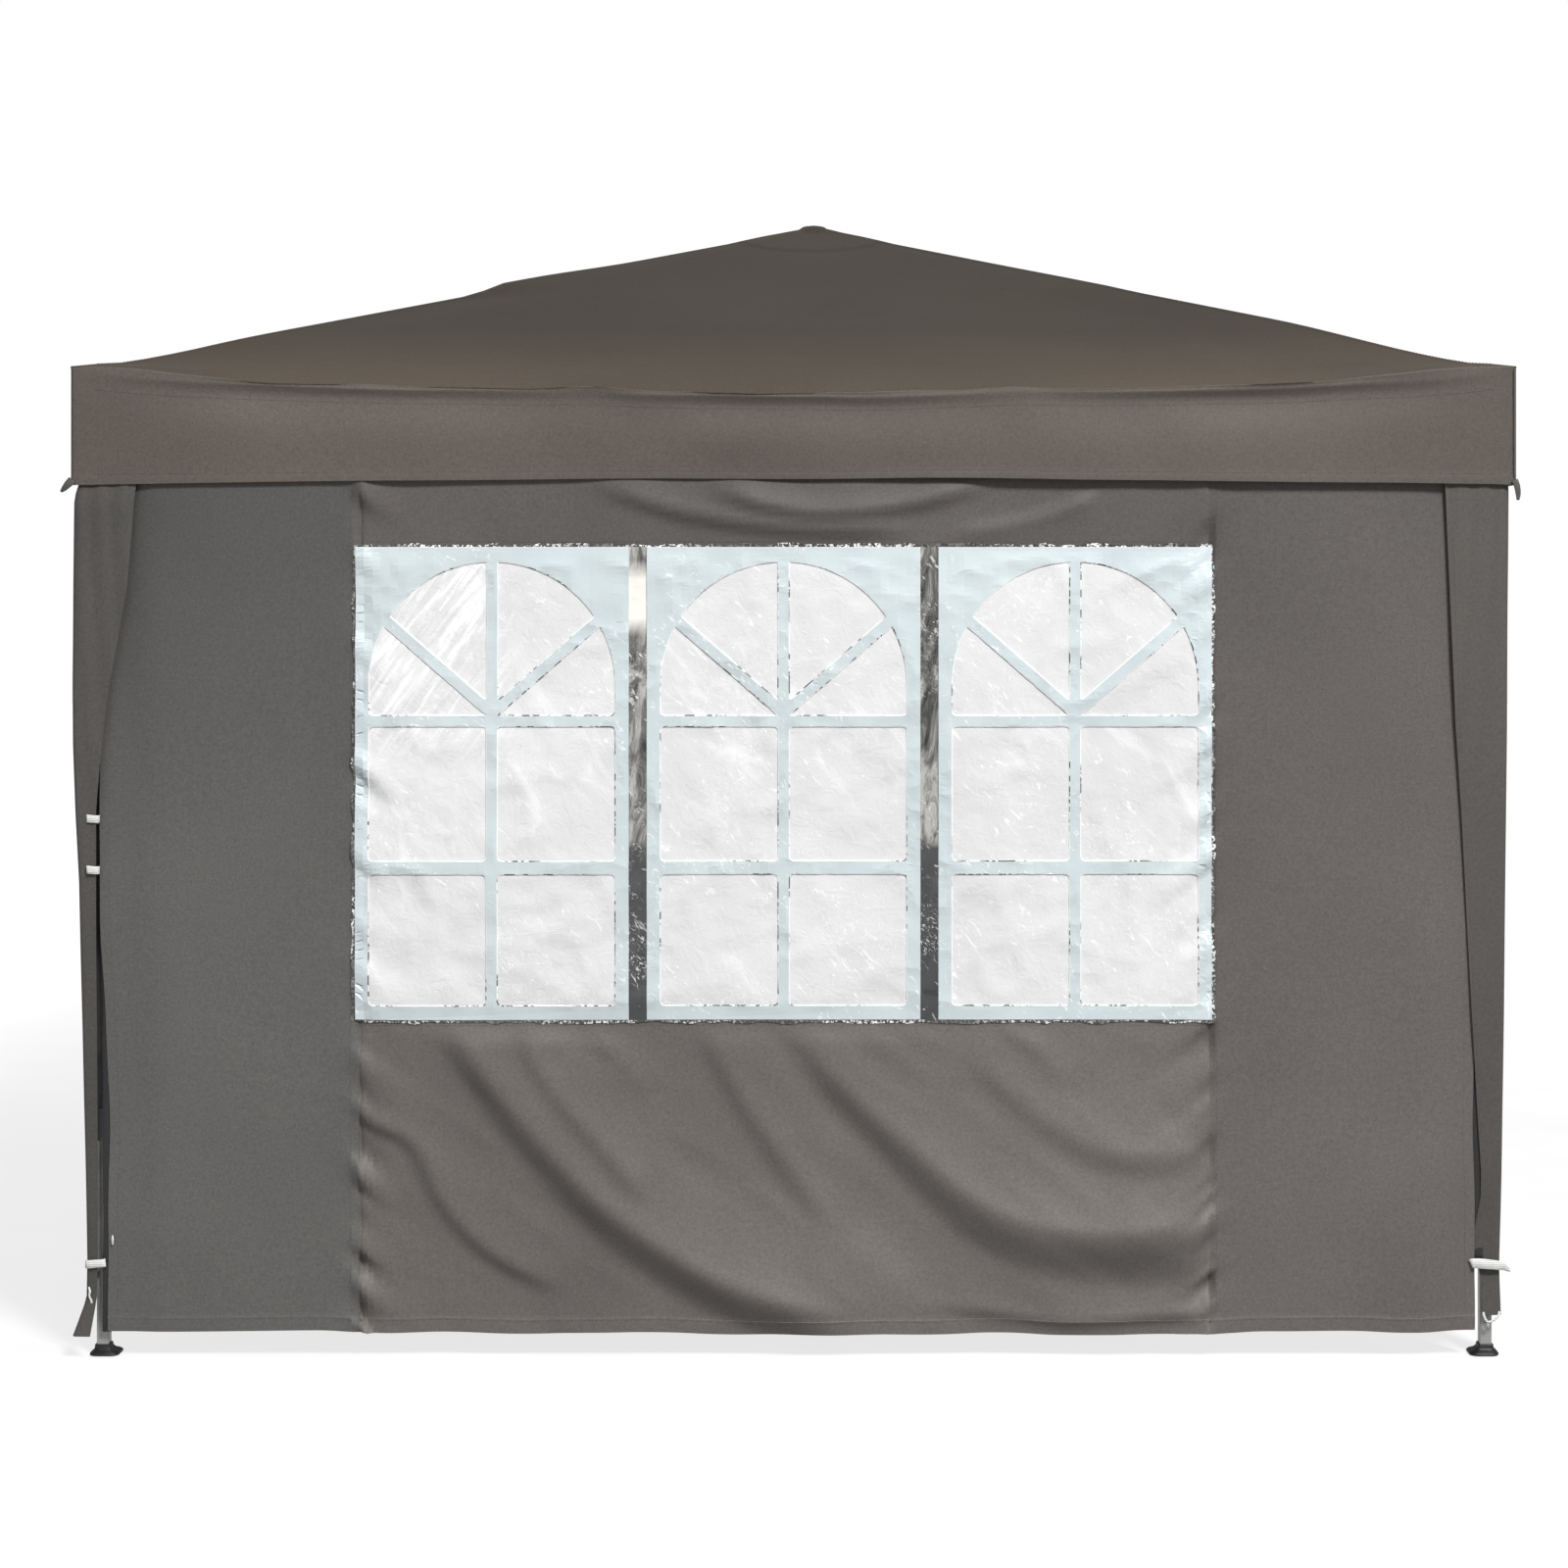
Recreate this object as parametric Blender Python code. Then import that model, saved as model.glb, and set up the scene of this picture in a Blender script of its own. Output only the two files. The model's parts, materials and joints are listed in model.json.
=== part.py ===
"""A pop-up tent on four telescoping poles.

Frame of flat scissor bars, two crosses along each side and one cross from the middle
of each side to a central hub. A peak post on the lower hub lifts the canopy. One side
wall has clear windows. X is to the right, Y to the back and Z up, in metres. The
origin is on the floor under the peak.
"""

import math

import bmesh
import bpy
from mathutils import Matrix, Vector

for old in list(bpy.data.objects):
    bpy.data.objects.remove(old, do_unlink=True)

# Canopy and wall
SPAN = 3.0
PEAK_HEIGHT = 2.55
EAVE_HEIGHT = 2.06
VALANCE_DROP = 0.245
FABRIC = 0.003
COVER_TOP_WIDTH = 0.13
COVER_END_WIDTH = 0.03
COVER_END_HEIGHT = 0.09
COVER_LEAN = 0.022
WALL_Y = -1.477
WALL_WIDTH = 2.84
WALL_BOTTOM = 0.05
WALL_TOP = 1.95
WINDOW_LEFT = -0.915
WINDOW_RIGHT = 0.872
WINDOW_BOTTOM = 0.70
WINDOW_TOP = 1.69
WINDOW_SEAM = 0.015
FILM = 0.0015

# Frame layout
LEG_OUT = 1.445
ROW_TOP = 2.0
ROW_BOTTOM = 1.65
CORNER_PIVOT = 0.055
MID_PIVOT = 0.025
EAR_PIVOT = 0.038
HUB_PIVOT = 0.042
REACH = LEG_OUT - CORNER_PIVOT - MID_PIVOT
BAR_LENGTH = math.hypot(REACH, ROW_TOP - ROW_BOTTOM)
BAR_ANGLE = math.atan2(ROW_TOP - ROW_BOTTOM, REACH)

# Bars and pins
BAR_HIGH = 0.024
BAR_THICK = 0.012
BAR_WALL = 0.001
BAR_OFFSET = 0.007
BAR_END = 0.012
PIN = 0.003
PIN_SIDES = 10
PIN_HOLE = 0.0038
RIVET = 0.0055
GAP = 0.0004
LUG = 0.005
LUG_HALF = 0.014

# Legs
OUTER_HALF = 0.015
OUTER_WALL = 0.0015
OUTER_BOTTOM = 0.46
OUTER_TOP = 2.022
INNER_HALF = 0.0125
INNER_WALL = 0.0012
INNER_TOP = 1.20
BLOCK_HALF = 0.020
COLLAR_BOTTOM = 0.455
COLLAR_TOP = 0.515
SLIDER_BELOW = 0.045
SLIDER_ABOVE = 0.022
BUTTON_BELOW = 0.030
BUTTON_HEAD = 0.009
BOSS = 0.012
BOSS_OUT = 0.007
FOOT_THICK = 0.004
FOOT_LOW = 0.0285
FOOT_HIGH = 0.0365
SOCKET_HALF = 0.0165
SOCKET_TOP = 0.045
PEG_HOLE = 0.004

# Hub and peak
HUB_HALF = 0.0225
HUB_BORE = 0.014
POST_RADIUS = 0.0125
POST_WALL = 0.0015
POST_TOP = 2.512
PLUG_TOP = 2.530

QUARTERS = ("front", "right", "back", "left")
CORNERS = ("front_left", "front_right", "back_right", "back_left")


def material(name, colour, roughness, metallic=0.0, alpha=1.0):
    made = bpy.data.materials.new(name)
    made.use_nodes = True
    shader = made.node_tree.nodes["Principled BSDF"]
    shader.inputs["Base Color"].default_value = (*colour, 1.0)
    shader.inputs["Roughness"].default_value = roughness
    shader.inputs["Metallic"].default_value = metallic
    shader.inputs["Alpha"].default_value = alpha
    return made


LOOKS = {
    "dark_steel": ((0.045, 0.047, 0.050), 0.45, 0.6, 1.0),
    "silver_steel": ((0.55, 0.56, 0.57), 0.35, 0.8, 1.0),
    "black_plastic": ((0.018, 0.018, 0.020), 0.5, 0.0, 1.0),
    "button_plastic": ((0.30, 0.31, 0.32), 0.5, 0.0, 1.0),
    "canopy_cloth": ((0.115, 0.098, 0.082), 0.9, 0.0, 1.0),
    "wall_cloth": ((0.155, 0.140, 0.128), 0.9, 0.0, 1.0),
    "clear_film": ((0.80, 0.84, 0.86), 0.15, 0.0, 0.35),
}


def new_object(name, mesh):
    made = bpy.data.objects.new(name, mesh)
    bpy.context.scene.collection.objects.link(made)
    return made


def mesh_of(name, bm):
    bmesh.ops.recalc_face_normals(bm, faces=bm.faces)
    mesh = bpy.data.meshes.new(name)
    bm.to_mesh(mesh)
    bm.free()
    return mesh


def box(low, high):
    """A box between two corners."""
    bm = bmesh.new()
    bmesh.ops.create_cube(bm, size=1.0)
    low, high = Vector(low), Vector(high)
    for v in bm.verts:
        at = [(high[i] + low[i]) / 2 + v.co[i] * (high[i] - low[i]) for i in range(3)]
        v.co = at
    return mesh_of("box", bm)


def rod(start, end, radius, end_radius=None, sides=12):
    """A round bar between two points."""
    start, end = Vector(start), Vector(end)
    along = end - start
    bm = bmesh.new()
    bmesh.ops.create_cone(
        bm,
        cap_ends=True,
        segments=sides,
        radius1=radius,
        radius2=radius if end_radius is None else end_radius,
        depth=along.length,
    )
    turn = Vector((0, 0, 1)).rotation_difference(along.normalized()).to_matrix().to_4x4()
    bm.transform(Matrix.Translation((start + end) / 2) @ turn)
    return mesh_of("rod", bm)


def cut(target, mesh, operation):
    """The target mesh with another mesh added to it or taken from it."""
    base = new_object("base", target)
    tool = new_object("tool", mesh)
    change = base.modifiers.new("change", "BOOLEAN")
    change.solver = "EXACT"
    change.use_self = True
    change.operation = operation
    change.object = tool
    graph = bpy.context.evaluated_depsgraph_get()
    made = bpy.data.meshes.new_from_object(base.evaluated_get(graph))
    bpy.data.objects.remove(base, do_unlink=True)
    bpy.data.objects.remove(tool, do_unlink=True)
    return made


def together(meshes):
    """Several shapes in one mesh, still crossing each other."""
    bm = bmesh.new()
    for mesh in meshes:
        bm.from_mesh(mesh)
    made = bpy.data.meshes.new("together")
    bm.to_mesh(made)
    bm.free()
    return made


def build(adds, cuts=()):
    """One closed mesh: the first shape, with the others joined and the cuts taken out."""
    made = adds[0]
    if len(adds) > 1:
        made = cut(made, together(adds[1:]), "UNION")
    if cuts:
        made = cut(made, together(cuts), "DIFFERENCE")
    return made


def quarter_turn(turns):
    """The matrix of some quarter turns about Z, in whole numbers."""
    c, s = ((1, 0), (0, 1), (-1, 0), (0, -1))[turns % 4]
    return Matrix(((c, -s, 0, 0), (s, c, 0, 0), (0, 0, 1, 0), (0, 0, 0, 1)))


def quarter(mesh, turns):
    """A copy of a mesh turned about the peak by quarter turns."""
    made = mesh.copy()
    made.transform(quarter_turn(turns))
    return made


def mirrored(mesh):
    """A copy of a mesh with X and Y exchanged, facing out."""
    made = mesh.copy()
    made.transform(Matrix(((0, 1, 0, 0), (1, 0, 0, 0), (0, 0, 1, 0), (0, 0, 0, 1))))
    made.flip_normals()
    return made


def finished(name, mesh, look):
    """A named part with its own material."""
    mesh.name = name
    mesh.materials.clear()
    colour, roughness, metallic, alpha = LOOKS[look]
    mesh.materials.append(material(name, colour, roughness, metallic, alpha))
    return new_object(name, mesh)


def bar(with_pin):
    """A hollow flat bar along X from one end pivot, with a rivet or a hole at its middle."""
    half, thick = BAR_HIGH / 2, BAR_THICK / 2
    outer = box((-BAR_END, -thick, -half), (BAR_LENGTH + BAR_END, thick, half))
    room_high, room_thick = half - BAR_WALL, thick - BAR_WALL
    room = box((-0.1, -room_thick, -room_high), (BAR_LENGTH + 0.1, room_thick, room_high))
    places = [0.0, BAR_LENGTH] if with_pin else [0.0, BAR_LENGTH / 2, BAR_LENGTH]
    holes = [rod((x, -0.02, 0), (x, 0.02, 0), PIN_HOLE) for x in places]
    made = build([outer], [room, *holes])
    if with_pin:
        x = BAR_LENGTH / 2
        far = 2 * BAR_OFFSET + thick + GAP
        made = cut(made, rod((x, -thick - 0.0015, 0), (x, far + 0.001, 0), PIN), "UNION")
        near_head = rod((x, -thick - 0.002, 0), (x, -thick + 0.0005, 0), RIVET)
        far_head = rod((x, far, 0), (x, far + 0.0021, 0), RIVET)
        made = cut(made, near_head, "UNION")
        made = cut(made, far_head, "UNION")
    return made


def placed_bar(mesh, start, angle, turn):
    """A bar moved to its start pivot, tilted up by an angle and turned about Z."""
    made = mesh.copy()
    tilt = Matrix.Rotation(-angle, 4, "Y")
    made.transform(Matrix.Translation(start) @ Matrix.Rotation(turn, 4, "Z") @ tilt)
    return made


def lugs(pivot, along, side, offset, back):
    """Two lugs and the pin between them, for one bar end.

    pivot is the pin's point in the joint's middle plane, along the direction in which
    the lugs reach out, side the pin's direction, offset the bar's place along side and
    back how far the lugs reach behind the pin.
    """
    pivot, along, side = Vector(pivot), Vector(along), Vector(side)
    half = BAR_THICK / 2 + GAP
    shapes = []
    for low in (offset - half - LUG, offset + half):
        a = pivot - along * back + side * low - Vector((0, 0, LUG_HALF))
        b = pivot + along * LUG_HALF + side * (low + LUG) + Vector((0, 0, LUG_HALF))
        low_corner = [min(a[i], b[i]) for i in range(3)]
        high_corner = [max(a[i], b[i]) for i in range(3)]
        shapes.append(box(low_corner, high_corner))
    reach = half + LUG / 2
    ends = [pivot + side * (offset + way) for way in (-reach, reach)]
    shapes.append(rod(*ends, PIN, sides=PIN_SIDES))
    return shapes


def corner_lugs(height, offset):
    """The lugs of the front left corner, for the front side's bar and the left side's bar."""
    at = (-LEG_OUT + CORNER_PIVOT, -LEG_OUT, height)
    back = CORNER_PIVOT - BLOCK_HALF + 0.002
    front = lugs(at, (1, 0, 0), (0, 1, 0), offset, back)
    return front + [mirrored(shape) for shape in front]


def square(half, low, high, at=(-LEG_OUT, -LEG_OUT)):
    """A square column at the front left leg."""
    return box((at[0] - half, at[1] - half, low), (at[0] + half, at[1] + half, high))


def outer_leg():
    tube = square(OUTER_HALF, OUTER_BOTTOM, OUTER_TOP)
    bracket = square(BLOCK_HALF, ROW_TOP - 0.045, OUTER_TOP + 0.010)
    collar = square(BLOCK_HALF, COLLAR_BOTTOM, COLLAR_TOP)
    button_height = (COLLAR_BOTTOM + COLLAR_TOP) / 2
    face = -LEG_OUT + BLOCK_HALF
    boss_start = (-LEG_OUT, face - 0.001, button_height)
    boss_end = (-LEG_OUT, face + BOSS_OUT, button_height)
    boss = rod(boss_start, boss_end, BOSS)
    room = square(OUTER_HALF - OUTER_WALL, COLLAR_TOP - 0.04, OUTER_TOP - 0.004)
    mouth = square(INNER_HALF + 0.0005, COLLAR_BOTTOM - 0.01, COLLAR_TOP - 0.039)
    start = (-LEG_OUT, -LEG_OUT + 0.001, button_height)
    button_way = rod(start, (-LEG_OUT, face + 0.02, button_height), PIN_HOLE)
    lock_height = ROW_BOTTOM - BUTTON_BELOW
    start = (-LEG_OUT, -LEG_OUT + 0.001, lock_height)
    lock_hole = rod(start, (-LEG_OUT, face + 0.02, lock_height), PIN_HOLE)
    adds = [tube, bracket, collar, boss, *corner_lugs(ROW_TOP, -BAR_OFFSET)]
    return build(adds, [room, mouth, button_way, lock_hole])


def inner_leg():
    tube = square(INNER_HALF, 0.001, INNER_TOP)
    low, high = -LEG_OUT - FOOT_LOW, -LEG_OUT + FOOT_HIGH
    plate = box((low, low, 0), (high, high, FOOT_THICK))
    socket = square(SOCKET_HALF, 0.001, SOCKET_TOP)
    room = square(INNER_HALF - INNER_WALL, 0.012, INNER_TOP + 0.01)
    peg_at = high - 0.0085
    peg = rod((peg_at, peg_at, -0.01), (peg_at, peg_at, 0.02), PEG_HOLE)
    middle = (COLLAR_BOTTOM + COLLAR_TOP) / 2
    cuts = [room, peg]
    for step in range(3):
        height = middle - 0.07 * step
        start = (-LEG_OUT, -LEG_OUT + 0.001, height)
        cuts.append(rod(start, (-LEG_OUT, -LEG_OUT + 0.03, height), PIN_HOLE))
    return build([plate, socket, tube], cuts)


def slider():
    block = square(BLOCK_HALF, ROW_BOTTOM - SLIDER_BELOW, ROW_BOTTOM + SLIDER_ABOVE)
    face = -LEG_OUT + BLOCK_HALF
    height = ROW_BOTTOM - BUTTON_BELOW
    boss = rod((-LEG_OUT, face - 0.001, height), (-LEG_OUT, face + BOSS_OUT, height), BOSS)
    bore = square(OUTER_HALF + GAP, ROW_BOTTOM - 0.1, ROW_BOTTOM + 0.1)
    way = rod((-LEG_OUT, -LEG_OUT, height), (-LEG_OUT, face + 0.02, height), PIN_HOLE)
    return build([block, boss, *corner_lugs(ROW_BOTTOM, BAR_OFFSET)], [bore, way])


def button(height, tip):
    """A round button with a pin, whose tip stops just clear of the tube it locks."""
    face = -LEG_OUT + BLOCK_HALF + BOSS_OUT + GAP
    pin = rod((-LEG_OUT, -LEG_OUT + tip, height), (-LEG_OUT, face + 0.002, height), PIN)
    head = rod((-LEG_OUT, face, height), (-LEG_OUT, face + 0.006, height), BUTTON_HEAD)
    rim_start = (-LEG_OUT, face + 0.0055, height)
    rim = rod(rim_start, (-LEG_OUT, face + 0.008, height), BUTTON_HEAD, BUTTON_HEAD - 0.002)
    return build([pin, head, rim])


def mid_joint(height, side_offset, ear_offset):
    """The front side's middle joint: two side bars meet in it, and a centre bar behind."""
    half = BAR_THICK / 2 + GAP
    plates = []
    reach = MID_PIVOT + LUG_HALF
    for low in (side_offset - half - LUG, side_offset + half):
        y = -LEG_OUT + low
        low_corner = (-reach, y, height - LUG_HALF)
        plates.append(box(low_corner, (reach, y + LUG, height + LUG_HALF)))
    y = -LEG_OUT + side_offset
    web_low = (-0.0035, y - half - 0.001, height - LUG_HALF)
    web = box(web_low, (0.0035, y + half + 0.001, height + LUG_HALF))
    pins = []
    for x in (-MID_PIVOT, MID_PIVOT):
        span = half + LUG / 2
        pins.append(rod((x, y - span, height), (x, y + span, height), PIN))
    back = EAR_PIVOT - (side_offset + half) - LUG / 2
    ear = lugs((0, -LEG_OUT + EAR_PIVOT, height), (0, 1, 0), (1, 0, 0), ear_offset, back)
    return build([plates[0], web, plates[1], *pins, *ear])


def hub(height, offset, bore, through):
    """A hub with four pairs of lugs around a round bore."""
    low = (-HUB_HALF, -HUB_HALF, height - 0.022)
    block = box(low, (HUB_HALF, HUB_HALF, height + 0.022))
    back = HUB_PIVOT - HUB_HALF + 0.002
    front = lugs((0, -HUB_PIVOT, height), (0, -1, 0), (1, 0, 0), offset, back)
    shapes = [quarter(shape, turns) for turns in range(4) for shape in front]
    bottom = height - (0.03 if through else 0.010)
    way = rod((0, 0, bottom), (0, 0, height + 0.03), bore, sides=20)
    return build([block, *shapes], [way])


def peak_post():
    low = ROW_BOTTOM - 0.009
    outer = rod((0, 0, low), (0, 0, POST_TOP), POST_RADIUS, sides=20)
    inner = POST_RADIUS - POST_WALL
    return build([outer], [rod((0, 0, low - 0.01), (0, 0, POST_TOP + 0.01), inner, sides=20)])


def peak_plug():
    """The rounded plug in the post's top."""
    rings = []
    for step in range(5):
        angle = step * math.pi / 2 / 5
        rings.append((POST_RADIUS * math.cos(angle), math.sin(angle)))
    low, rise = POST_TOP + GAP, PLUG_TOP - POST_TOP - GAP
    stem = POST_RADIUS - POST_WALL - GAP
    rows = [(stem, POST_TOP - 0.03), (stem, low)]
    rows += [(radius, low + rise * up) for radius, up in rings]
    bm = bmesh.new()
    sides = 20
    loops = []
    for radius, z in rows:
        loop = []
        for i in range(sides):
            turn = 2 * math.pi * i / sides
            loop.append(bm.verts.new((radius * math.cos(turn), radius * math.sin(turn), z)))
        loops.append(loop)
    for lower, upper in zip(loops, loops[1:]):
        for i in range(sides):
            j = (i + 1) % sides
            bm.faces.new((lower[i], lower[j], upper[j], upper[i]))
    bm.faces.new(list(reversed(loops[0])))
    top = bm.verts.new((0, 0, PLUG_TOP))
    for i in range(sides):
        bm.faces.new((loops[-1][i], loops[-1][(i + 1) % sides], top))
    return mesh_of("plug", bm)


def canopy():
    """One closed shell: a four-sided roof, its valances and the four tapered leg covers."""
    half = SPAN / 2
    hem = EAVE_HEIGHT - VALANCE_DROP
    inset = half - COVER_LEAN
    wide = half - COVER_TOP_WIDTH
    narrow = inset - COVER_END_WIDTH
    bm = bmesh.new()
    peak = bm.verts.new((0, 0, PEAK_HEIGHT))

    def turned(x, y, z, turns):
        return bm.verts.new(quarter_turn(turns) @ Vector((x, y, z)))

    edges = []
    for turns in range(4):
        edges.append(
            {
                "eave": turned(-half, -half, EAVE_HEIGHT, turns),
                "eave_in": turned(-wide, -half, EAVE_HEIGHT, turns),
                "eave_out": turned(wide, -half, EAVE_HEIGHT, turns),
                "hem": turned(-half, -half, hem, turns),
                "hem_in": turned(-wide, -half, hem, turns),
                "hem_out": turned(wide, -half, hem, turns),
                "end": turned(-inset, -inset, COVER_END_HEIGHT, turns),
                "end_in": turned(-narrow, -inset, COVER_END_HEIGHT, turns),
                "end_out": turned(narrow, -inset, COVER_END_HEIGHT, turns),
            }
        )
    for turns in range(4):
        here, after = edges[turns], edges[(turns + 1) % 4]
        faces = [
            (here["eave"], here["eave_in"], here["eave_out"], after["eave"], peak),
            (here["eave"], here["hem"], here["hem_in"], here["eave_in"]),
            (here["eave_in"], here["hem_in"], here["hem_out"], here["eave_out"]),
            (here["eave_out"], here["hem_out"], after["hem"], after["eave"]),
            (here["hem"], here["end"], here["end_in"], here["hem_in"]),
            (here["hem_out"], here["end_out"], after["end"], after["hem"]),
        ]
        for face in faces:
            bm.faces.new(face)
    skin = mesh_of("skin", bm)
    shell = new_object("shell", skin)
    thick = shell.modifiers.new("thick", "SOLIDIFY")
    thick.thickness = FABRIC
    thick.offset = -1.0
    thick.use_even_offset = True
    thick.use_quality_normals = True
    graph = bpy.context.evaluated_depsgraph_get()
    made = bpy.data.meshes.new_from_object(shell.evaluated_get(graph))
    bpy.data.objects.remove(shell, do_unlink=True)
    return made


def wall_panel():
    """The side wall, open where its windows are."""
    front, back = WALL_Y - FABRIC / 2, WALL_Y + FABRIC / 2
    sheet = box((-WALL_WIDTH / 2, front, WALL_BOTTOM), (WALL_WIDTH / 2, back, WALL_TOP))
    low = (WINDOW_LEFT + WINDOW_SEAM, front - 0.01, WINDOW_BOTTOM + WINDOW_SEAM)
    high = (WINDOW_RIGHT - WINDOW_SEAM, back + 0.01, WINDOW_TOP - WINDOW_SEAM)
    return build([sheet], [box(low, high)])


def window_film():
    """The clear film over the opening, sewn to the front of the wall."""
    back = WALL_Y - FABRIC / 2 - GAP
    low = (WINDOW_LEFT, back - FILM, WINDOW_BOTTOM)
    return box(low, (WINDOW_RIGHT, back, WINDOW_TOP))


def frame_parts():
    pin_bar, hole_bar = bar(True), bar(False)
    rivet_y, hole_y = -LEG_OUT - BAR_OFFSET, -LEG_OUT + BAR_OFFSET
    side = -LEG_OUT + CORNER_PIVOT
    behind = -LEG_OUT + EAR_PIVOT
    angle = BAR_ANGLE
    bars = {
        "outer_bar_start": (pin_bar, (side, rivet_y, ROW_TOP), -angle, 0),
        "outer_bar_end": (pin_bar, (MID_PIVOT, rivet_y, ROW_BOTTOM), angle, 0),
        "inner_bar_start": (hole_bar, (side, hole_y, ROW_BOTTOM), angle, 0),
        "inner_bar_end": (hole_bar, (MID_PIVOT, hole_y, ROW_TOP), -angle, 0),
        "centre_up": (pin_bar, (BAR_OFFSET, behind, ROW_BOTTOM), angle, math.pi / 2),
        "centre_down": (hole_bar, (-BAR_OFFSET, behind, ROW_TOP), -angle, math.pi / 2),
    }
    made = {key: placed_bar(*spec) for key, spec in bars.items()}
    made["mid_top"] = mid_joint(ROW_TOP, BAR_OFFSET, -BAR_OFFSET)
    made["mid_bottom"] = mid_joint(ROW_BOTTOM, -BAR_OFFSET, BAR_OFFSET)
    legs = {
        "outer_leg": (outer_leg(), "dark_steel"),
        "inner_leg": (inner_leg(), "silver_steel"),
        "slider": (slider(), "black_plastic"),
        "slider_button": (button(ROW_BOTTOM - BUTTON_BELOW, OUTER_HALF + GAP), "button_plastic"),
        "leg_button": (
            button((COLLAR_BOTTOM + COLLAR_TOP) / 2, INNER_HALF + GAP),
            "button_plastic",
        ),
    }
    ends = {
        "front": ("left", "right"),
        "right": ("front", "back"),
        "back": ("right", "left"),
        "left": ("back", "front"),
    }
    for turns, where in enumerate(QUARTERS):
        start, end = ends[where]
        names = {
            "outer_bar_start": f"outer_bar_{where}_{start}",
            "outer_bar_end": f"outer_bar_{where}_{end}",
            "inner_bar_start": f"inner_bar_{where}_{start}",
            "inner_bar_end": f"inner_bar_{where}_{end}",
            "centre_up": f"centre_bar_up_{where}",
            "centre_down": f"centre_bar_down_{where}",
            "mid_top": f"mid_top_{where}",
            "mid_bottom": f"mid_bottom_{where}",
        }
        for key, name in names.items():
            look = "black_plastic" if key.startswith("mid") else "silver_steel"
            finished(name, quarter(made[key], turns), look)
        for key, (mesh, look) in legs.items():
            finished(f"{key}_{CORNERS[turns]}", quarter(mesh, turns), look)


def centre_parts():
    finished("hub_top", hub(ROW_TOP, BAR_OFFSET, HUB_BORE, True), "black_plastic")
    socket = POST_RADIUS + GAP
    finished("hub_bottom", hub(ROW_BOTTOM, -BAR_OFFSET, socket, False), "black_plastic")
    finished("peak_post", peak_post(), "silver_steel")
    finished("peak_plug", peak_plug(), "black_plastic")


frame_parts()
centre_parts()
finished("canopy", canopy(), "canopy_cloth")
finished("wall_panel", wall_panel(), "wall_cloth")
finished("window_film", window_film(), "clear_film")
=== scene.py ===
"""Pop-up tent with one window wall: the looks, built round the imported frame."""

import json
import math
from contextlib import contextmanager

import bmesh
import bpy
import numpy as np
from mathutils import Matrix, Vector


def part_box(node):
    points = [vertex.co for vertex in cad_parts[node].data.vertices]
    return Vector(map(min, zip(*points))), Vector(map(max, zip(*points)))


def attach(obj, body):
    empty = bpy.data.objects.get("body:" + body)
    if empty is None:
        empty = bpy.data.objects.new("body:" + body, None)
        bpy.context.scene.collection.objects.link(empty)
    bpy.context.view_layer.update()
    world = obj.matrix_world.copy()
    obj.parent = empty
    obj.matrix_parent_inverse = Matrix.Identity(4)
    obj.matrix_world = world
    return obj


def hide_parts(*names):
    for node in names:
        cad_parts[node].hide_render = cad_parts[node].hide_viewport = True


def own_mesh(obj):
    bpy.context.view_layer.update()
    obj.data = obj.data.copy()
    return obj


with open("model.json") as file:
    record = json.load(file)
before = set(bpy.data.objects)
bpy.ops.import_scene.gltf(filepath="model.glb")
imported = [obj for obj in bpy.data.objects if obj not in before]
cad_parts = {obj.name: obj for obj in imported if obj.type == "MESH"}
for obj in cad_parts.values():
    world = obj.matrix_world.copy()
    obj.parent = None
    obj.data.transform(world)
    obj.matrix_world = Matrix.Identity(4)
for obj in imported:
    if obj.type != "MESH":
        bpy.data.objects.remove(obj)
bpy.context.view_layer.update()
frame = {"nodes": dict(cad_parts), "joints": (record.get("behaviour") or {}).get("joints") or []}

CANOPY_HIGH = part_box("canopy")[1]
WALL_LOW, WALL_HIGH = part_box("wall_panel")
FILM_LOW, FILM_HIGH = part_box("window_film")

SEAM_LEFT = FILM_LOW.x + 0.012  # where the wall's side panels are sewn on
SEAM_RIGHT = FILM_HIGH.x - 0.006

HALF = CANOPY_HIGH.x  # half the side of the roof
PEAK = CANOPY_HIGH.z
EAVE = 2.06
HEM = 1.815
CLOTH = 0.0014  # how thick the cloth is
STITCH_PITCH = 0.0085
STITCH = 0.0055
TINY = 1e-12
STRIPS = 9  # pieces that each side of the roof is made of
SIDES = ("front", "right", "back", "left")
CORNERS = ("front_left", "front_right", "back_right", "back_left")
FOLD = math.radians(frame["joints"][0]["range_deg"][1])
HINGE = Vector(frame["joints"][0]["pos_m"])


# ---------------------------------------------------------------- noise and small maths


def lattice(i, j, seed):
    v = np.sin(i * 127.1 + j * 311.7 + seed * 74.7) * 43758.5453
    return 2.0 * (v - np.floor(v)) - 1.0


def soft_noise(x, y, seed=0):
    """Smooth noise from -1 to 1 with a cell of 1."""
    x, y = np.asarray(x, float), np.asarray(y, float)
    i, j = np.floor(x), np.floor(y)
    fx, fy = x - i, y - j
    fx, fy = fx**3 * (fx * (6 * fx - 15) + 10), fy**3 * (fy * (6 * fy - 15) + 10)
    low = lattice(i, j, seed) * (1 - fx) + lattice(i + 1, j, seed) * fx
    high = lattice(i, j + 1, seed) * (1 - fx) + lattice(i + 1, j + 1, seed) * fx
    return low * (1 - fy) + high * fy


def ridges(x, y, seed=0):
    """Creases: 1 on sharp lines, falling to 0 between them."""
    return 1.0 - np.abs(soft_noise(x, y, seed)) * 2.0


def smooth(x, low, high):
    t = np.clip((np.asarray(x, float) - low) / (high - low), 0, 1)
    return t * t * (3 - 2 * t)


# ---------------------------------------------------------------- meshes


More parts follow.
